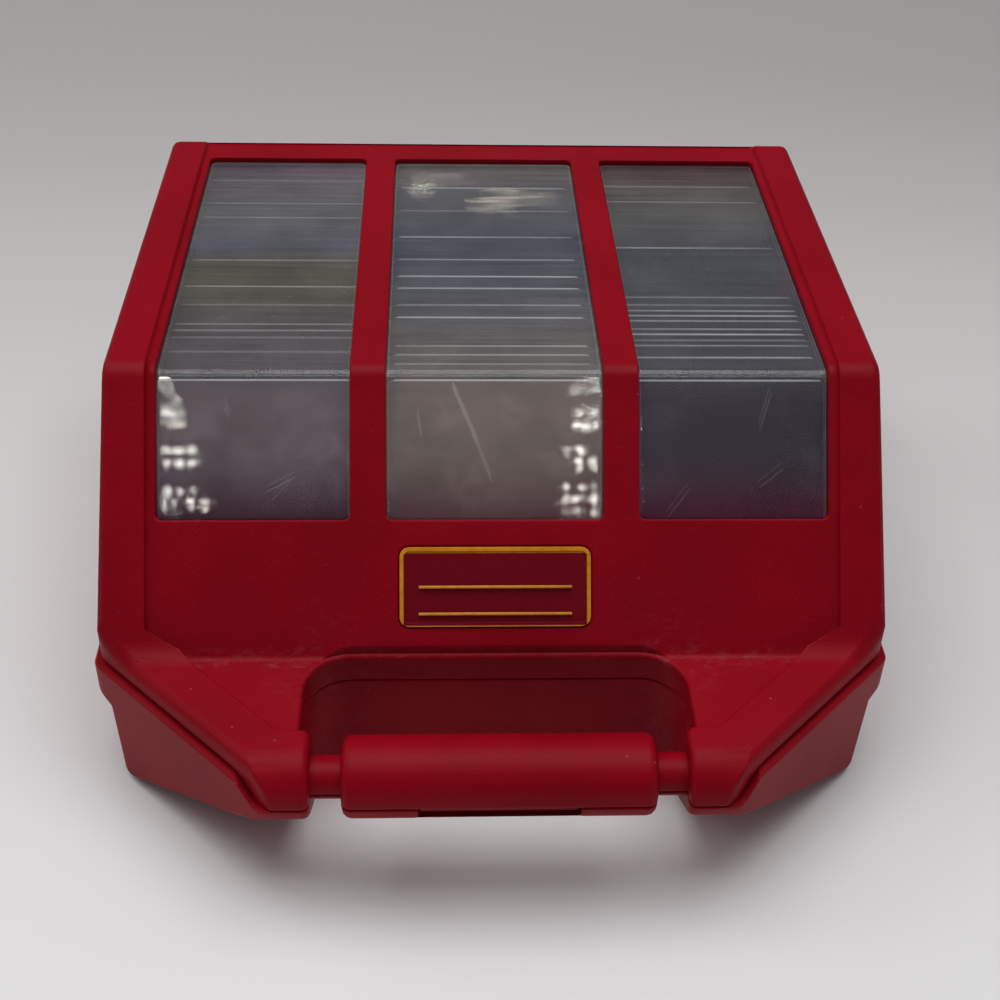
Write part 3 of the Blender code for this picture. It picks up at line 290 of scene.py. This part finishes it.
def badge_finish():
    """Ochre raised border round a red field."""
    finish = Finish("badge", IOR=1.48, Specular_IOR_Level=0.12)
    wear = finish.noise(3.2 * MM, 4.0, 0.6)
    ochre = finish.mix(wear.rise(0.3, 0.8), (0.66, 0.25, 0.014), (0.50, 0.17, 0.010))
    low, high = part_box("badge_plate")
    middle = (low.z + high.z) / 2 - 0.3 * MM
    half = (high.z - low.z) / 2 - 1.55 * MM
    field = abs(finish.x).rise(28.9 * MM, 28.6 * MM) * abs(finish.z - middle).rise(half + 0.2 * MM, half)
    dust = finish.specks(1.6 * MM, 0.16 * MM, 0.5) * 0.3
    red = finish.mix(dust, (0.150, 0.0008, 0.0070), PALE_DUST_AND_HIGHLIGHT)
    finish.set("Base Color", finish.mix(field, ochre, red))
    finish.set("Roughness", 0.38 + wear * 0.12)
    finish.set("Normal", finish.bump(finish.noise(0.5 * MM, 2.0), 0.05 * MM, 0.3))
    return finish.material


def ochre_finish():
    """Smooth ochre paint on raised plastic."""
    finish = Finish("ochre_line", IOR=1.48)
    wear = finish.noise(2.2 * MM, 4.0, 0.6)
    finish.set("Base Color", finish.mix(wear.rise(0.3, 0.8), (0.68, 0.27, 0.015), (0.52, 0.18, 0.010)))
    finish.set("Roughness", 0.34 + wear * 0.14)
    finish.set("Normal", finish.bump(wear, 0.05 * MM, 0.3))
    return finish.material


def pane_finish(row):
    """Clear window plastic, hazed and scratched by use, with painted highlights along the lens edges and painted
    shade low on the steep part.
    """
    finish = Finish(f"pane_{row}", IOR=2.3)
    slope = finish.y.rise(BEND_Y + 3 * MM, BEND_Y - 2 * MM)
    haze = finish.noise(30 * MM, 5.0, 0.62, stretch=(1.0, 1.0, 0.6), shift=(ROWS[row], 0.0, 0.0))
    wisps = finish.noise(9 * MM, 6.0, 0.7, stretch=(0.5, 1.5, 1.1))
    hairs = finish.noise(3.4 * MM, 4.0, 0.7, stretch=(0.12, 1.0, 1.0))
    smear = haze.rise(0.35, 0.75) * 0.11 + wisps.rise(0.50, 0.78) * 0.10 + hairs.rise(0.62, 0.8) * 0.05
    streaks = finish.noise(1.1 * MM, 3.0, 0.65, stretch=(0.015, 1.0, 1.0), shift=(ROWS[row], 0.0, 0.0))
    smear = smear + (1 - slope) * (streaks - 0.5) * 0.45
    smudge = finish.noise(12 * MM, 5.0, 0.62, shift=(ROWS[row], 0.0, 11 * MM)).rise(0.46, 0.74)
    dirt = finish.noise(1.5 * MM, 4.0, 0.8).rise(0.52, 0.75)
    smear = smear + slope * (smudge * 0.14 + dirt * 0.05)
    if row in CLEARER:
        middle_x, middle_z, reach = CLEARER[row]
        away = ((finish.x - middle_x) ** 2 + (finish.z - middle_z) ** 2) ** 0.5
        smear = smear * (1 - away.rise(reach, reach / 3) * 0.7)
    wear_and_edge_highlight = finish.specks(5.5 * MM, 0.30 * MM, 0.3) * 0.5
    for start, end, half, strength in SCRATCHES[row]:
        wear_and_edge_highlight = wear_and_edge_highlight + finish.line(finish.x, finish.z, start, end, half, 0.12 * MM) * strength
    start, end = LENSES[row]
    # painted highlight: thin pale lines along the lens's side edges
    lens_edge_highlight = (finish.x - start).band(0.0, 0.15 * MM, 0.25 * MM) + (finish.x - end).band(0.0, 0.15 * MM, 0.25 * MM)
    wear_and_edge_highlight = wear_and_edge_highlight + lens_edge_highlight * (0.14 + wisps.rise(0.30, 0.70) * 0.16)
    film = (smear * 0.6 + slope * 0.02 + wear_and_edge_highlight * 0.6).lesser(0.8)
    bands, upper, lower = FILMS[row]
    over = finish.ramp(row_share(finish), bands)
    # painted shade: low on the steep part the haze turns to the red-purple of the shaded inside, seen through the
    # pane
    haze_and_painted_shade_tint = finish.mix(finish.z.rise(100 * MM, 78 * MM), upper, lower)
    haze_and_painted_shade_tint = finish.mix(slope, over, haze_and_painted_shade_tint)
    finish.set("Base Color", finish.mix(wear_and_edge_highlight.lesser(1.0), haze_and_painted_shade_tint, (0.80, 0.80, 0.80)))
    finish.set("Alpha", film + 0.15)
    finish.set("Roughness", 0.015 + haze * 0.04 + wear_and_edge_highlight * 0.2)
    warp = finish.noise(16 * MM, 2.0)
    finish.set("Normal", finish.bump(warp, 0.0015 * MM, 1.0))
    return finish.material


# Edges of each lens across the case
LENSES = {"left": (-105.3 * MM, -46.0 * MM), "centre": (-33.7 * MM, 33.7 * MM), "right": (46.0 * MM, 105.3 * MM)}

# Where the haze of a window's steep part is thinner: middle in x and z, and reach
CLEARER = {"right": (73 * MM, 101 * MM, 24 * MM)}

# Haze of each window: from front to back over the row, and on the upper and lower half of the steep part; the lower
# tint is painted shade of the case's red inside
FILMS = {
    "left": (((0.00, (0.33, 0.30, 0.32)), (0.20, (0.31, 0.28, 0.30)), (0.34, (0.32, 0.29, 0.24)),
              (0.45, (0.32, 0.30, 0.24)), (0.51, (0.33, 0.33, 0.41)), (0.70, (0.42, 0.41, 0.43)),
              (0.84, (0.42, 0.38, 0.41)), (1.00, (0.38, 0.25, 0.30))),
             (0.40, 0.32, 0.355), (0.13, 0.004, 0.060)),
    "centre": (((0.00, (0.50, 0.46, 0.44)), (0.12, (0.42, 0.39, 0.37)), (0.30, (0.33, 0.33, 0.38)),
                (0.55, (0.26, 0.27, 0.34)), (0.80, (0.38, 0.38, 0.40)), (0.92, (0.50, 0.47, 0.45)),
                (1.00, (0.36, 0.30, 0.32))),
               (0.52, 0.42, 0.38), (0.24, 0.08, 0.11)),
    "right": (((0.00, (0.27, 0.26, 0.29)), (0.20, (0.23, 0.23, 0.27)), (0.50, (0.27, 0.27, 0.33)),
               (0.66, (0.31, 0.30, 0.30)), (0.82, (0.34, 0.30, 0.29)), (1.00, (0.25, 0.12, 0.16))),
              (0.17, 0.14, 0.18), (0.24, 0.010, 0.085)),
}

# Scratches on the steep part of each window: start and end in x and z, half width, strength
SCRATCHES = {
    "left": (
        ((-72 * MM, 91 * MM), (-62 * MM, 95 * MM), 0.10 * MM, 0.22),
        ((-70 * MM, 89 * MM), (-64 * MM, 94 * MM), 0.10 * MM, 0.18),
        ((-85 * MM, 113 * MM), (-83 * MM, 109 * MM), 0.35 * MM, 0.12),
    ),
    "centre": (
        ((-13.5 * MM, 117.5 * MM), (-5.5 * MM, 103.0 * MM), 0.30 * MM, 0.30),
        ((-6.0 * MM, 103.5 * MM), (-0.9 * MM, 93.3 * MM), 0.18 * MM, 0.22),
        ((-24.5 * MM, 111 * MM), (-23 * MM, 104 * MM), 0.30 * MM, 0.14),
        ((-18 * MM, 114 * MM), (-15 * MM, 110 * MM), 0.25 * MM, 0.10),
    ),
    "right": (
        ((88 * MM, 116 * MM), (84 * MM, 106 * MM), 0.22 * MM, 0.16),
        ((54 * MM, 84 * MM), (62 * MM, 92 * MM), 0.20 * MM, 0.12),
        ((84 * MM, 92 * MM), (92 * MM, 97 * MM), 0.12 * MM, 0.16),
    ),
}

# Colours along each row from front to back, as seen over the dividers' tops
ROW_COLOURS = {
    "left": ((0.00, (0.075, 0.068, 0.060)), (0.20, (0.070, 0.060, 0.070)), (0.34, (0.080, 0.072, 0.045)),
             (0.48, (0.075, 0.070, 0.048)), (0.55, (0.065, 0.072, 0.100)), (0.70, (0.085, 0.085, 0.090)),
             (0.84, (0.095, 0.100, 0.095)), (1.00, (0.10, 0.11, 0.11))),
    "centre": ((0.00, (0.07, 0.065, 0.06)), (0.25, (0.070, 0.075, 0.095)), (0.55, (0.060, 0.075, 0.110)),
               (0.80, (0.085, 0.090, 0.095)), (1.00, (0.11, 0.11, 0.11))),
    "right": ((0.00, (0.05, 0.06, 0.085)), (0.35, (0.060, 0.070, 0.090)), (0.55, (0.045, 0.055, 0.090)),
              (0.70, (0.075, 0.080, 0.060)), (0.85, (0.10, 0.11, 0.10)), (1.00, (0.12, 0.12, 0.12))),
}


def row_share(finish):
    """0 at the bend and 1 at the back of the lid."""
    return (finish.y - BEND_Y) * (1 / ROW_LENGTH)


def divider_finish(row):
    """Clear index sheet: milky, with a painted highlight along its cut edge, tinted by the cards behind it."""
    finish = Finish(f"divider_{row}", IOR=1.5)
    tint = finish.ramp(row_share(finish), ROW_COLOURS[row])
    streaks = finish.noise(6 * MM, 4.0, 0.6, stretch=(1.0, 1.0, 0.3), shift=(ROWS[row], 0.0, 0.0))
    edge = finish.z.rise(SHEET_TOP - 0.02 * MM, SHEET_TOP + 0.06 * MM)
    side = abs(finish.x - ROWS[row]).rise(SHEET_HALF - 0.1 * MM, SHEET_HALF + 0.3 * MM)
    each = finish.noise(2.6 * MM, 1.0, 0.5, stretch=(0.01, 1.0, 0.01), shift=(ROWS[row], 0.0, 0.0))
    # painted highlight: the cut top edge, and more faintly the sides, turned pale
    bright = (edge + side * 0.3).lesser(1.0) * (each.rise(0.42, 0.72) * 0.55 + streaks * 0.25 + 0.02)
    finish.set("Base Color", finish.mix(bright.lesser(1.0), tint, (0.80, 0.81, 0.84)))
    finish.set("Alpha", 0.70 + streaks * 0.14 + edge * 0.12)
    finish.set("Roughness", 0.22 + streaks * 0.18)
    finish.set("Normal", finish.bump(streaks, 0.3 * MM, 0.2))
    return finish.material


# Foremost sheet of each row: in its upper half the card behind it, in its lower half painted shade of the case's dark
# red inside
FIRST_TINTS = {
    "left": ((0.200, 0.150, 0.170), (0.055, 0.010, 0.035)),
    "centre": ((0.260, 0.200, 0.190), (0.120, 0.045, 0.070)),
    "right": ((0.011, 0.014, 0.028), (0.060, 0.006, 0.030)),
}


def first_divider_finish(row):
    """Foremost sheet of a row, with the dim card behind it showing through, painted shade low down and a painted
    highlight along its top edge.
    """
    finish = Finish(f"first_divider_{row}", IOR=1.5, Specular_IOR_Level=0.2)
    light, dark = FIRST_TINTS[row]
    blotches = finish.noise(26 * MM, 3.0, 0.55, stretch=(1.0, 1.0, 0.8), shift=(ROWS[row], 0.0, 7 * MM))
    # painted shade: the lower part turns to the dark colour, broken up by blotches
    depth = finish.z.rise(98 * MM, 72 * MM) + (blotches - 0.5) * 1.2
    tint = finish.mix(depth.greater(0.0).lesser(1.0), light, dark)
    # painted highlight along the cut top edge
    edge = finish.z.rise(SHEET_TOP - 0.02 * MM, SHEET_TOP + 0.06 * MM)
    haze = finish.noise(10 * MM, 5.0, 0.65)
    tint = finish.mix(haze.rise(0.5, 0.8) * 0.10, tint, light)
    finish.set("Base Color", finish.mix(edge * 0.6, tint, (0.75, 0.77, 0.82)))
    finish.set("Alpha", 0.97 + edge * 0.02)
    finish.set("Roughness", 0.20 + haze * 0.25)
    finish.set("Normal", finish.bump(blotches, 0.8 * MM, 0.15))
    return finish.material


def card_finish(row):
    """Cut edges of stacked cards: pale cores between dark printed faces."""
    finish = Finish(f"cards_{row}", IOR=1.45)
    tint = finish.ramp(row_share(finish), ROW_COLOURS[row])
    stripes = finish.noise(0.6 * MM, 2.0, 0.6, stretch=(0.02, 1.0, 0.02))
    fibres = finish.noise(4 * MM, 4.0, 0.7, stretch=(1.0, 0.2, 1.0))
    finish.set("Base Color", finish.mix(stripes.rise(0.5, 0.75) * 0.15, tint, (0.30, 0.29, 0.27)))
    finish.set("Roughness", 0.5 + fibres * 0.2)
    finish.set("Normal", finish.bump(stripes, 0.2 * MM, 0.3))
    return finish.material


def insert_finish():
    """Grey vacuum-formed insert."""
    finish = Finish("insert_grey", IOR=1.48)
    clouds = finish.noise(20 * MM, 4.0)
    rubs = finish.noise(5 * MM, 5.0, 0.7, stretch=(1.0, 0.3, 1.0)).rise(0.55, 0.8)
    finish.set("Base Color", finish.mix(rubs * 0.3, finish.mix(clouds, (0.15, 0.155, 0.17), (0.21, 0.215, 0.23)),
                                        (0.36, 0.36, 0.37)))
    finish.set("Roughness", 0.48 + clouds * 0.12)
    finish.set("Normal", finish.bump(finish.noise(0.8 * MM, 2.0), 0.08 * MM, 0.3))
    return finish.material


def steel_finish():
    """Drawn steel pin."""
    finish = Finish("pin_steel", Metallic=1.0)
    draw = finish.noise(0.5 * MM, 3.0, 0.6, stretch=(0.02, 1.0, 1.0))
    finish.set("Base Color", finish.mix(draw, (0.52, 0.51, 0.50), (0.66, 0.66, 0.66)))
    finish.set("Roughness", 0.26 + draw * 0.18)
    finish.set("Normal", finish.bump(draw, 0.03 * MM, 0.3))
    return finish.material


def floor_finish():
    """Pale tabletop, darker towards the back by painted shade."""
    finish = Finish("floor", IOR=1.4, Specular_IOR_Level=0.3)
    clouds = finish.noise(0.35, 3.0)
    pale = finish.mix(clouds, (0.80, 0.785, 0.78), (0.77, 0.755, 0.75))
    # painted shade: the floor darkens towards the back, where less light falls
    finish.set("Base Color", finish.mix(finish.y.rise(-0.25, 0.55), pale, (0.44, 0.41, 0.405)))
    finish.set("Roughness", 0.42 + clouds * 0.1)
    return finish.material


# Shapes

def link(name, mesh, finish):
    """New piece of a mesh."""
    piece = bpy.data.objects.new(name, mesh)
    bpy.context.scene.collection.objects.link(piece)
    if finish:
        mesh.materials.append(finish)
    return piece


def round_off(bm, edges, radius, segments):
    """Rounds chosen edges of a mesh."""
    bmesh.ops.bevel(bm, geom=edges, offset=radius, offset_type="OFFSET", segments=segments, profile=0.5,
                    affect="EDGES", clamp_overlap=False)


def smooth(piece):
    """Smooth shading that follows the large faces and stays crisp at sharp edges."""
    piece.data.shade_smooth()
    piece.data.set_sharp_from_angle(angle=math.radians(50))
    weighted = piece.modifiers.new("even_shading", "WEIGHTED_NORMAL")
    weighted.keep_sharp = True
    settle(piece)
    return piece


def settle(piece):
    """Makes a piece's modifiers part of its mesh."""
    graph = bpy.context.evaluated_depsgraph_get()
    mesh = bpy.data.meshes.new_from_object(piece.evaluated_get(graph))
    piece.modifiers.clear()
    piece.data = mesh


def corner_point(point):
    """Whether a point is where the chamfer's rounding runs into the steep front."""
    return abs(point.x) > 95 * MM and -112 * MM < point.y < -60 * MM and 51.5 * MM < point.z < 82 * MM


def ear_edge(edge):
    """Whether an edge is an outer one round the inner face of an ear."""
    flat = all(abs(abs(v.co.x) - EAR_INNER) < 0.05 * MM and v.co.y < NOSE_Y + 9 * MM for v in edge.verts)
    seam = all(abs(v.co.z - SEAM_Z) < 0.4 * MM for v in edge.verts)
    return flat and not seam and edge.is_convex and edge.calc_face_angle(0.0) > math.radians(40)


def corner_edge(edge):
    """Whether an edge is where the round front meets the chamfered corner."""
    reach = [abs(v.co.x) - v.co.y for v in edge.verts]
    flat = min(reach) > 209.3 * MM and max(reach) < 212.6 * MM and abs(reach[0] - reach[1]) < 0.05 * MM
    front = all(v.co.y < NOSE_Y and 30 * MM < v.co.z < 49 * MM for v in edge.verts)
    seam = all(abs(v.co.z - SEAM_Z) < 0.5 * MM for v in edge.verts)
    return flat and front and not seam and edge.is_convex and edge.calc_face_angle(0.0) > math.radians(20)


def dress(node, finish, width=0.0, segments=2, angle=35.0, rounder=()):
    """Welded copy of a CAD node with softened edges, which stands for it. Chosen edges are rounded first."""
    bm = bmesh.new()
    bm.from_mesh(frame["nodes"][node].data)
    bmesh.ops.remove_doubles(bm, verts=bm.verts, dist=WELD)
    bmesh.ops.remove_doubles(bm, verts=[v for v in bm.verts if corner_point(v.co)], dist=9 * WELD)
    bmesh.ops.dissolve_degenerate(bm, edges=bm.edges, dist=WELD)
    bmesh.ops.dissolve_limit(bm, angle_limit=math.radians(0.6), verts=bm.verts, edges=bm.edges)
    for chosen, radius in rounder:
        round_off(bm, [edge for edge in bm.edges if chosen(edge)], radius, 4)
    crisp = [edge for edge in bm.edges if edge.is_manifold and edge.is_convex
             and edge.calc_face_angle() > math.radians(angle)]
    round_off(bm, crisp, width, segments)
    bmesh.ops.triangulate(bm, faces=[face for face in bm.faces if len(face.verts) > 4])
    mesh = bpy.data.meshes.new(f"{node}_looks")
    bm.to_mesh(mesh)
    bm.free()
    for attribute in [a for a in mesh.attributes if a.name == "custom_normal"]:
        mesh.attributes.remove(attribute)
    piece = smooth(link(f"{node}_looks", mesh, finish))
    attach(piece, BODY_OF[node])
    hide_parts(node)
    return piece


def repaint(node, finish):
    """New finish on a CAD node that stays."""
    obj = frame["nodes"][node]
    for slot in obj.material_slots:
        slot.material = finish


def slope_point(x, up, out):
    """Point over the front panel's surface: up from the foot of the slope, out square to it."""
    foot = Vector((x, SLOPE_FOOT_Y, LEDGE_Z))
    rise = Vector((0, math.cos(SLOPE), math.sin(SLOPE)))
    square = Vector((0, -math.sin(SLOPE), math.cos(SLOPE)))
    return foot + rise * up + square * (out - WALL)


def rail_mesh(name, half, height, low, high, radius):
    """Low round-topped bar on the front slope, about the middle line, from low to high out of its surface."""
    bm = bmesh.new()
    rings = []
    for inset, out in ((0.0, low), (0.0, high - radius), (radius * 0.3, high - radius * 0.3), (radius, high)):
        across = half - inset
        up = height / 2 - inset
        ring = []
        for x, u in ((-across, -up), (across, -up), (across, up), (-across, up)):
            ring.append(bm.verts.new(slope_point(x, u, out)))
        rings.append(ring)
    for lower, upper in zip(rings, rings[1:]):
        for i in range(4):
            j = (i + 1) % 4
            bm.faces.new((lower[i], lower[j], upper[j], upper[i]))
    bm.faces.new(rings[0][::-1])
    bm.faces.new(rings[-1])
    bmesh.ops.recalc_face_normals(bm, faces=bm.faces)
    mesh = bpy.data.meshes.new(name)
    bm.to_mesh(mesh)
    bm.free()
    return mesh


def badge_lines():
    """Two plain raised lines on the blank badge."""
    for i, (middle, half) in enumerate(((20.8, 24.0), (12.4, 24.0))):
        mesh = rail_mesh(f"badge_line_{i + 1}", half * MM, 0.9 * MM, 0.0, 0.45 * MM, 0.25 * MM)
        shift = slope_point(0, middle * MM, 0.95 * MM) - slope_point(0, 0, 0)
        mesh.transform(Matrix.Translation(shift))
        piece = link(f"badge_line_{i + 1}", mesh, OCHRE)
        piece.data.shade_smooth()
        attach(piece, "lid")


def card_stack(row, index, finish):
    """Pack of separate cards in place of its block, each a little out of line."""
    node = f"cards_{row}_{index:02d}"
    low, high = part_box(node)
    slant = math.tan(CARD_LEAN)
    depth = high.y - low.y - (high.z - low.z) * slant
    dice = random.Random(f"{row}{index}")
    count = int(depth / CARD_STEP)
    bm = bmesh.new()
    for k in range(count):
        y0 = low.y + k * depth / count
        y1 = y0 + depth / count * 0.96
        side = dice.uniform(0.0, 0.25 * MM)
        drop = dice.uniform(0.0, 0.3 * MM)
        x0, x1 = low.x + side, high.x - dice.uniform(0.0, 0.25 * MM)
        z0, z1 = low.z, high.z - drop
        corner = 3.0 * MM
        cut = corner * 0.3
        outline = [(x0, z0), (x1, z0), (x1, z1 - corner), (x1 - cut, z1 - cut), (x1 - corner, z1),
                   (x0 + corner, z1), (x0 + cut, z1 - cut), (x0, z1 - corner)]
        rings = []
        for y in (y0, y1):
            rings.append([bm.verts.new((x, y + (z - z0) * slant, z)) for x, z in outline])
        for i in range(len(outline)):
            j = (i + 1) % len(outline)
            bm.faces.new((rings[0][i], rings[0][j], rings[1][j], rings[1][i]))
        bm.faces.new(rings[0][::-1])
        bm.faces.new(rings[1])
    bmesh.ops.recalc_face_normals(bm, faces=bm.faces)
    mesh = bpy.data.meshes.new(f"{node}_stack")
    bm.to_mesh(mesh)
    bm.free()
    piece = link(f"{node}_stack", mesh, finish)
    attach(piece, node)
    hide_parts(node)


# Surroundings

def backdrop():
    """Floor that sweeps up behind the case, pale in front and darkened by painted shade towards the back."""
    start, radius = 1.5, 0.6
    profile = [(-30.0, 0.0), (-0.8, 0.0), (start, 0.0)]
    profile += [(start + radius * math.sin(a), radius * (1 - math.cos(a)))
                for a in (math.pi / 2 * k / 16 for k in range(1, 17))]
    profile.append((start + radius, 3.5))
    bm = bmesh.new()
    rows = [[bm.verts.new((x, y, z)) for y, z in profile] for x in (-30.0, 30.0)]
    for i in range(len(profile) - 1):
        bm.faces.new((rows[0][i], rows[0][i + 1], rows[1][i + 1], rows[1][i]))
    bmesh.ops.recalc_face_normals(bm, faces=bm.faces)
    mesh = bpy.data.meshes.new("floor_sweep")
    bm.to_mesh(mesh)
    bm.free()
    mesh.shade_smooth()
    sweep = link("floor_sweep", mesh, floor_finish())


# Panels of lamps: four corners in millimetres (top left, top right, low left, low right), then rows of lamps from low
# to high, each with the places of its lamps from left to right
LAMPS = {
    "lamps_left": (
        ((-545, -1748, 1741), (-462, -1758, 1751), (-547, -1917, 1542), (-443, -1928, 1550)),
        ((0.05, (0.12, 0.35, 0.62, 0.92)), (0.15, (0.18, 0.42, 0.68)), (0.36, (0.20, 0.44, 0.70)),
         (0.45, (0.16, 0.42, 0.66)), (0.66, (0.20, 0.48)), (0.75, (0.08, 0.30, 0.50)), (0.86, (0.42,)),
         (0.97, (0.04, 0.20)), (1.04, (0.03, 0.10)))),
    "lamps_right": (
        ((221, -1771, 1765), (291, -1766, 1760), (221, -1944, 1561), (291, -1939, 1557)),
        ((0.05, (0.05, 0.38, 0.85)), (0.15, (0.12, 0.55, 0.86)), (0.34, (0.40, 0.84)), (0.44, (0.10, 0.48)),
         (0.63, (0.34, 0.62, 0.90)), (0.72, (0.52, 0.86)), (0.90, (0.42, 0.90)), (1.0, (0.78, 0.94)))),
}
LAMP_DOT = 8.5 * MM
LAMP_STRENGTH = 70.0

# Bars behind the case: four corners as above, then each bar's height, start and end in shares and its width
BAR_CORNERS = ((-42, 469, 296), (62, 470, 295), (-42, 434, 304), (60, 434, 303))
BARS = ((0.90, 0.02, 0.50, 0.5), (0.82, 0.06, 0.30, 0.4), (0.64, 0.03, 0.24, 1.0), (0.54, 0.06, 0.20, 0.7),
        (0.48, 0.48, 0.80, 1.2), (0.40, 0.60, 1.00, 0.5), (0.30, 0.50, 1.02, 0.8), (0.20, 0.40, 0.72, 1.4),
        (0.08, 0.50, 0.76, 0.8))
BAR_STRENGTH = 17.0


def glow_only(name, mesh, strength, colour):
    """Lamp that only shows in what mirrors it."""
    glow = Finish(name, Base_Color=(0, 0, 0), Emission_Strength=strength, Emission_Color=colour)
    panel = link(name, mesh, glow.material)
    panel.visible_camera = False
    panel.visible_diffuse = False
    panel.visible_shadow = False


def lamp_panel(name):
    """Panel of small round lamps, which the steep windows mirror."""
    corners, clusters = LAMPS[name]
    top_left, top_right, low_left, low_right = (Vector(corner) * MM for corner in corners)
    right = (top_right - top_left).normalized()
    up = (top_left - low_left).normalized()
    dice = random.Random(name)
    bm = bmesh.new()
    for row, columns in clusters:
        left = low_left.lerp(top_left, row)
        end = low_right.lerp(top_right, row)
        for column in columns:
            centre = left.lerp(end, column + dice.uniform(-0.04, 0.04)) + up * dice.uniform(-3, 3) * MM
            size = LAMP_DOT * dice.uniform(0.35, 0.6)
            ring = [bm.verts.new(centre + (right * math.cos(a) + up * math.sin(a)) * size)
                    for a in (2 * math.pi * k / 10 for k in range(10))]
            bm.faces.new(ring)
    mesh = bpy.data.meshes.new(name)
    bm.to_mesh(mesh)
    bm.free()
    glow_only(name, mesh, LAMP_STRENGTH, (1.0, 0.97, 0.90))


def glare_bars():
    """Thin bright bars behind the case, which the flat centre window mirrors."""
    top_left, top_right, low_left, low_right = (Vector(corner) * MM for corner in BAR_CORNERS)
    up = (top_left - low_left).normalized()
    bm = bmesh.new()
    for row, start, end, width in BARS:
        left = low_left.lerp(top_left, row)
        right = low_right.lerp(top_right, row)
        half = up * (width * MM / 2)
        near, far = left.lerp(right, start), left.lerp(right, end)
        low_side = [near.lerp(far, share) - half for share in (0.2, 0.7)]
        high_side = [near.lerp(far, share) + half for share in (0.8, 0.3)]
        bm.faces.new([bm.verts.new(point) for point in (near, *low_side, far, *high_side)])
    mesh = bpy.data.meshes.new("bars_back")
    bm.to_mesh(mesh)
    bm.free()
    glow_only("bars_back", mesh, BAR_STRENGTH, (1.0, 0.90, 0.72))


def area_lamp(name, place, target, size, power, colour=(1.0, 1.0, 1.0)):
    """Large soft lamp."""
    data = bpy.data.lights.new(name, "AREA")
    data.shape = "RECTANGLE"
    data.size, data.size_y = size
    data.energy = power
    data.color = colour
    lamp = bpy.data.objects.new(name, data)
    bpy.context.scene.collection.objects.link(lamp)
    lamp.location = place
    lamp.rotation_euler = (Vector(target) - Vector(place)).to_track_quat("-Z", "Y").to_euler()
    return lamp


def surroundings():
    """World light, lamps and the floor."""
    world = bpy.data.worlds.new("room")
    bpy.context.scene.world = world
    world.use_nodes = True
    tree = world.node_tree
    sky = tree.nodes["Background"]
    sky.inputs["Color"].default_value = (0.80, 0.82, 0.86, 1.0)
    toward = tree.nodes.new("ShaderNodeTexCoord")
    axes = tree.nodes.new("ShaderNodeSeparateXYZ")
    falls = tree.nodes.new("ShaderNodeMapRange")
    tree.links.new(toward.outputs["Generated"], axes.inputs[0])
    tree.links.new(axes.outputs["Y"], falls.inputs["Value"])
    for name, value in (("From Min", -0.75), ("From Max", 0.15), ("To Min", 0.13), ("To Max", 0.60)):
        falls.inputs[name].default_value = value
    tree.links.new(falls.outputs[0], sky.inputs["Strength"])
    backdrop()
    area_lamp("ceiling", (0.0, 0.025, 1.7), (0.0, -0.125, 0.0), (1.7, 1.25), 21.2)
    area_lamp("window_side", (-1.3, 0.5, 1.1), (0.0, 0.0, 0.05), (1.0, 0.9), 5.0)
    for name in LAMPS:
        lamp_panel(name)
    glare_bars()


def camera():
    """Camera at the photo's place, angle and lens."""
    pitch, yaw, roll = 0.663954, 0.0523568, -0.0303119
    place = Vector((-0.017895, -0.429681, 0.380333))
    forward = Vector((math.sin(yaw) * math.cos(pitch), math.cos(yaw) * math.cos(pitch), -math.sin(pitch)))
    level = Vector((math.cos(yaw), -math.sin(yaw), 0))
    down = forward.cross(level)
    right = math.cos(roll) * level + math.sin(roll) * down
    down = math.cos(roll) * down - math.sin(roll) * level
    data = bpy.data.cameras.new("camera")
    data.sensor_width = 36
    data.sensor_height = 36
    data.lens = 54.0227
    data.clip_start = 0.01
    eye = bpy.data.objects.new("camera", data)
    bpy.context.scene.collection.objects.link(eye)
    columns = (right, -down, -forward, place)
    eye.matrix_world = Matrix([[column[i] for column in columns] for i in range(3)] + [[0, 0, 0, 1]])
    bpy.context.scene.camera = eye


# The case

for leftover in list(bpy.data.objects):
    bpy.data.objects.remove(leftover)
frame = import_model()
BODY_OF = {node: body for body, nodes in frame["record"]["behaviour"]["bodies"].items() for node in nodes}

RED_PLASTIC = shell_plastic("red_plastic", RED, RED_DEEP, 0.16 * MM, 1.0)
DARK_PLASTIC = shell_plastic("dark_red_plastic", (0.235, 0.0015, 0.0200), (0.190, 0.0010, 0.0150), 0.10 * MM, 0.6)
OCHRE = ochre_finish()

ROUNDER = ((ear_edge, 2.4 * MM), (corner_edge, 1.4 * MM))
dress("base_tray", RED_PLASTIC, 0.6 * MM, rounder=ROUNDER)
dress("lid_shell", RED_PLASTIC, 0.6 * MM, rounder=ROUNDER)
dress("latch_slide", DARK_PLASTIC, 0.35 * MM)
dress("badge_plate", badge_finish(), 0.15 * MM)
for row in ROWS:
    dress(f"window_{row}", pane_finish(row), 0.25 * MM)
    sheet = divider_finish(row)
    for i in range(DIVIDERS[row]):
        repaint(f"divider_{row}_{i + 1:02d}", sheet if i else first_divider_finish(row))
    stock = card_finish(row)
    for i in range(PACKS[row]):
        card_stack(row, i + 1, stock)
badge_lines()
repaint("lane_tray", insert_finish())
STEEL = steel_finish()
for side in ("left", "right"):
    repaint(f"hinge_pin_{side}", STEEL)

surroundings()
camera()
bpy.context.scene.view_settings.view_transform = "Standard"
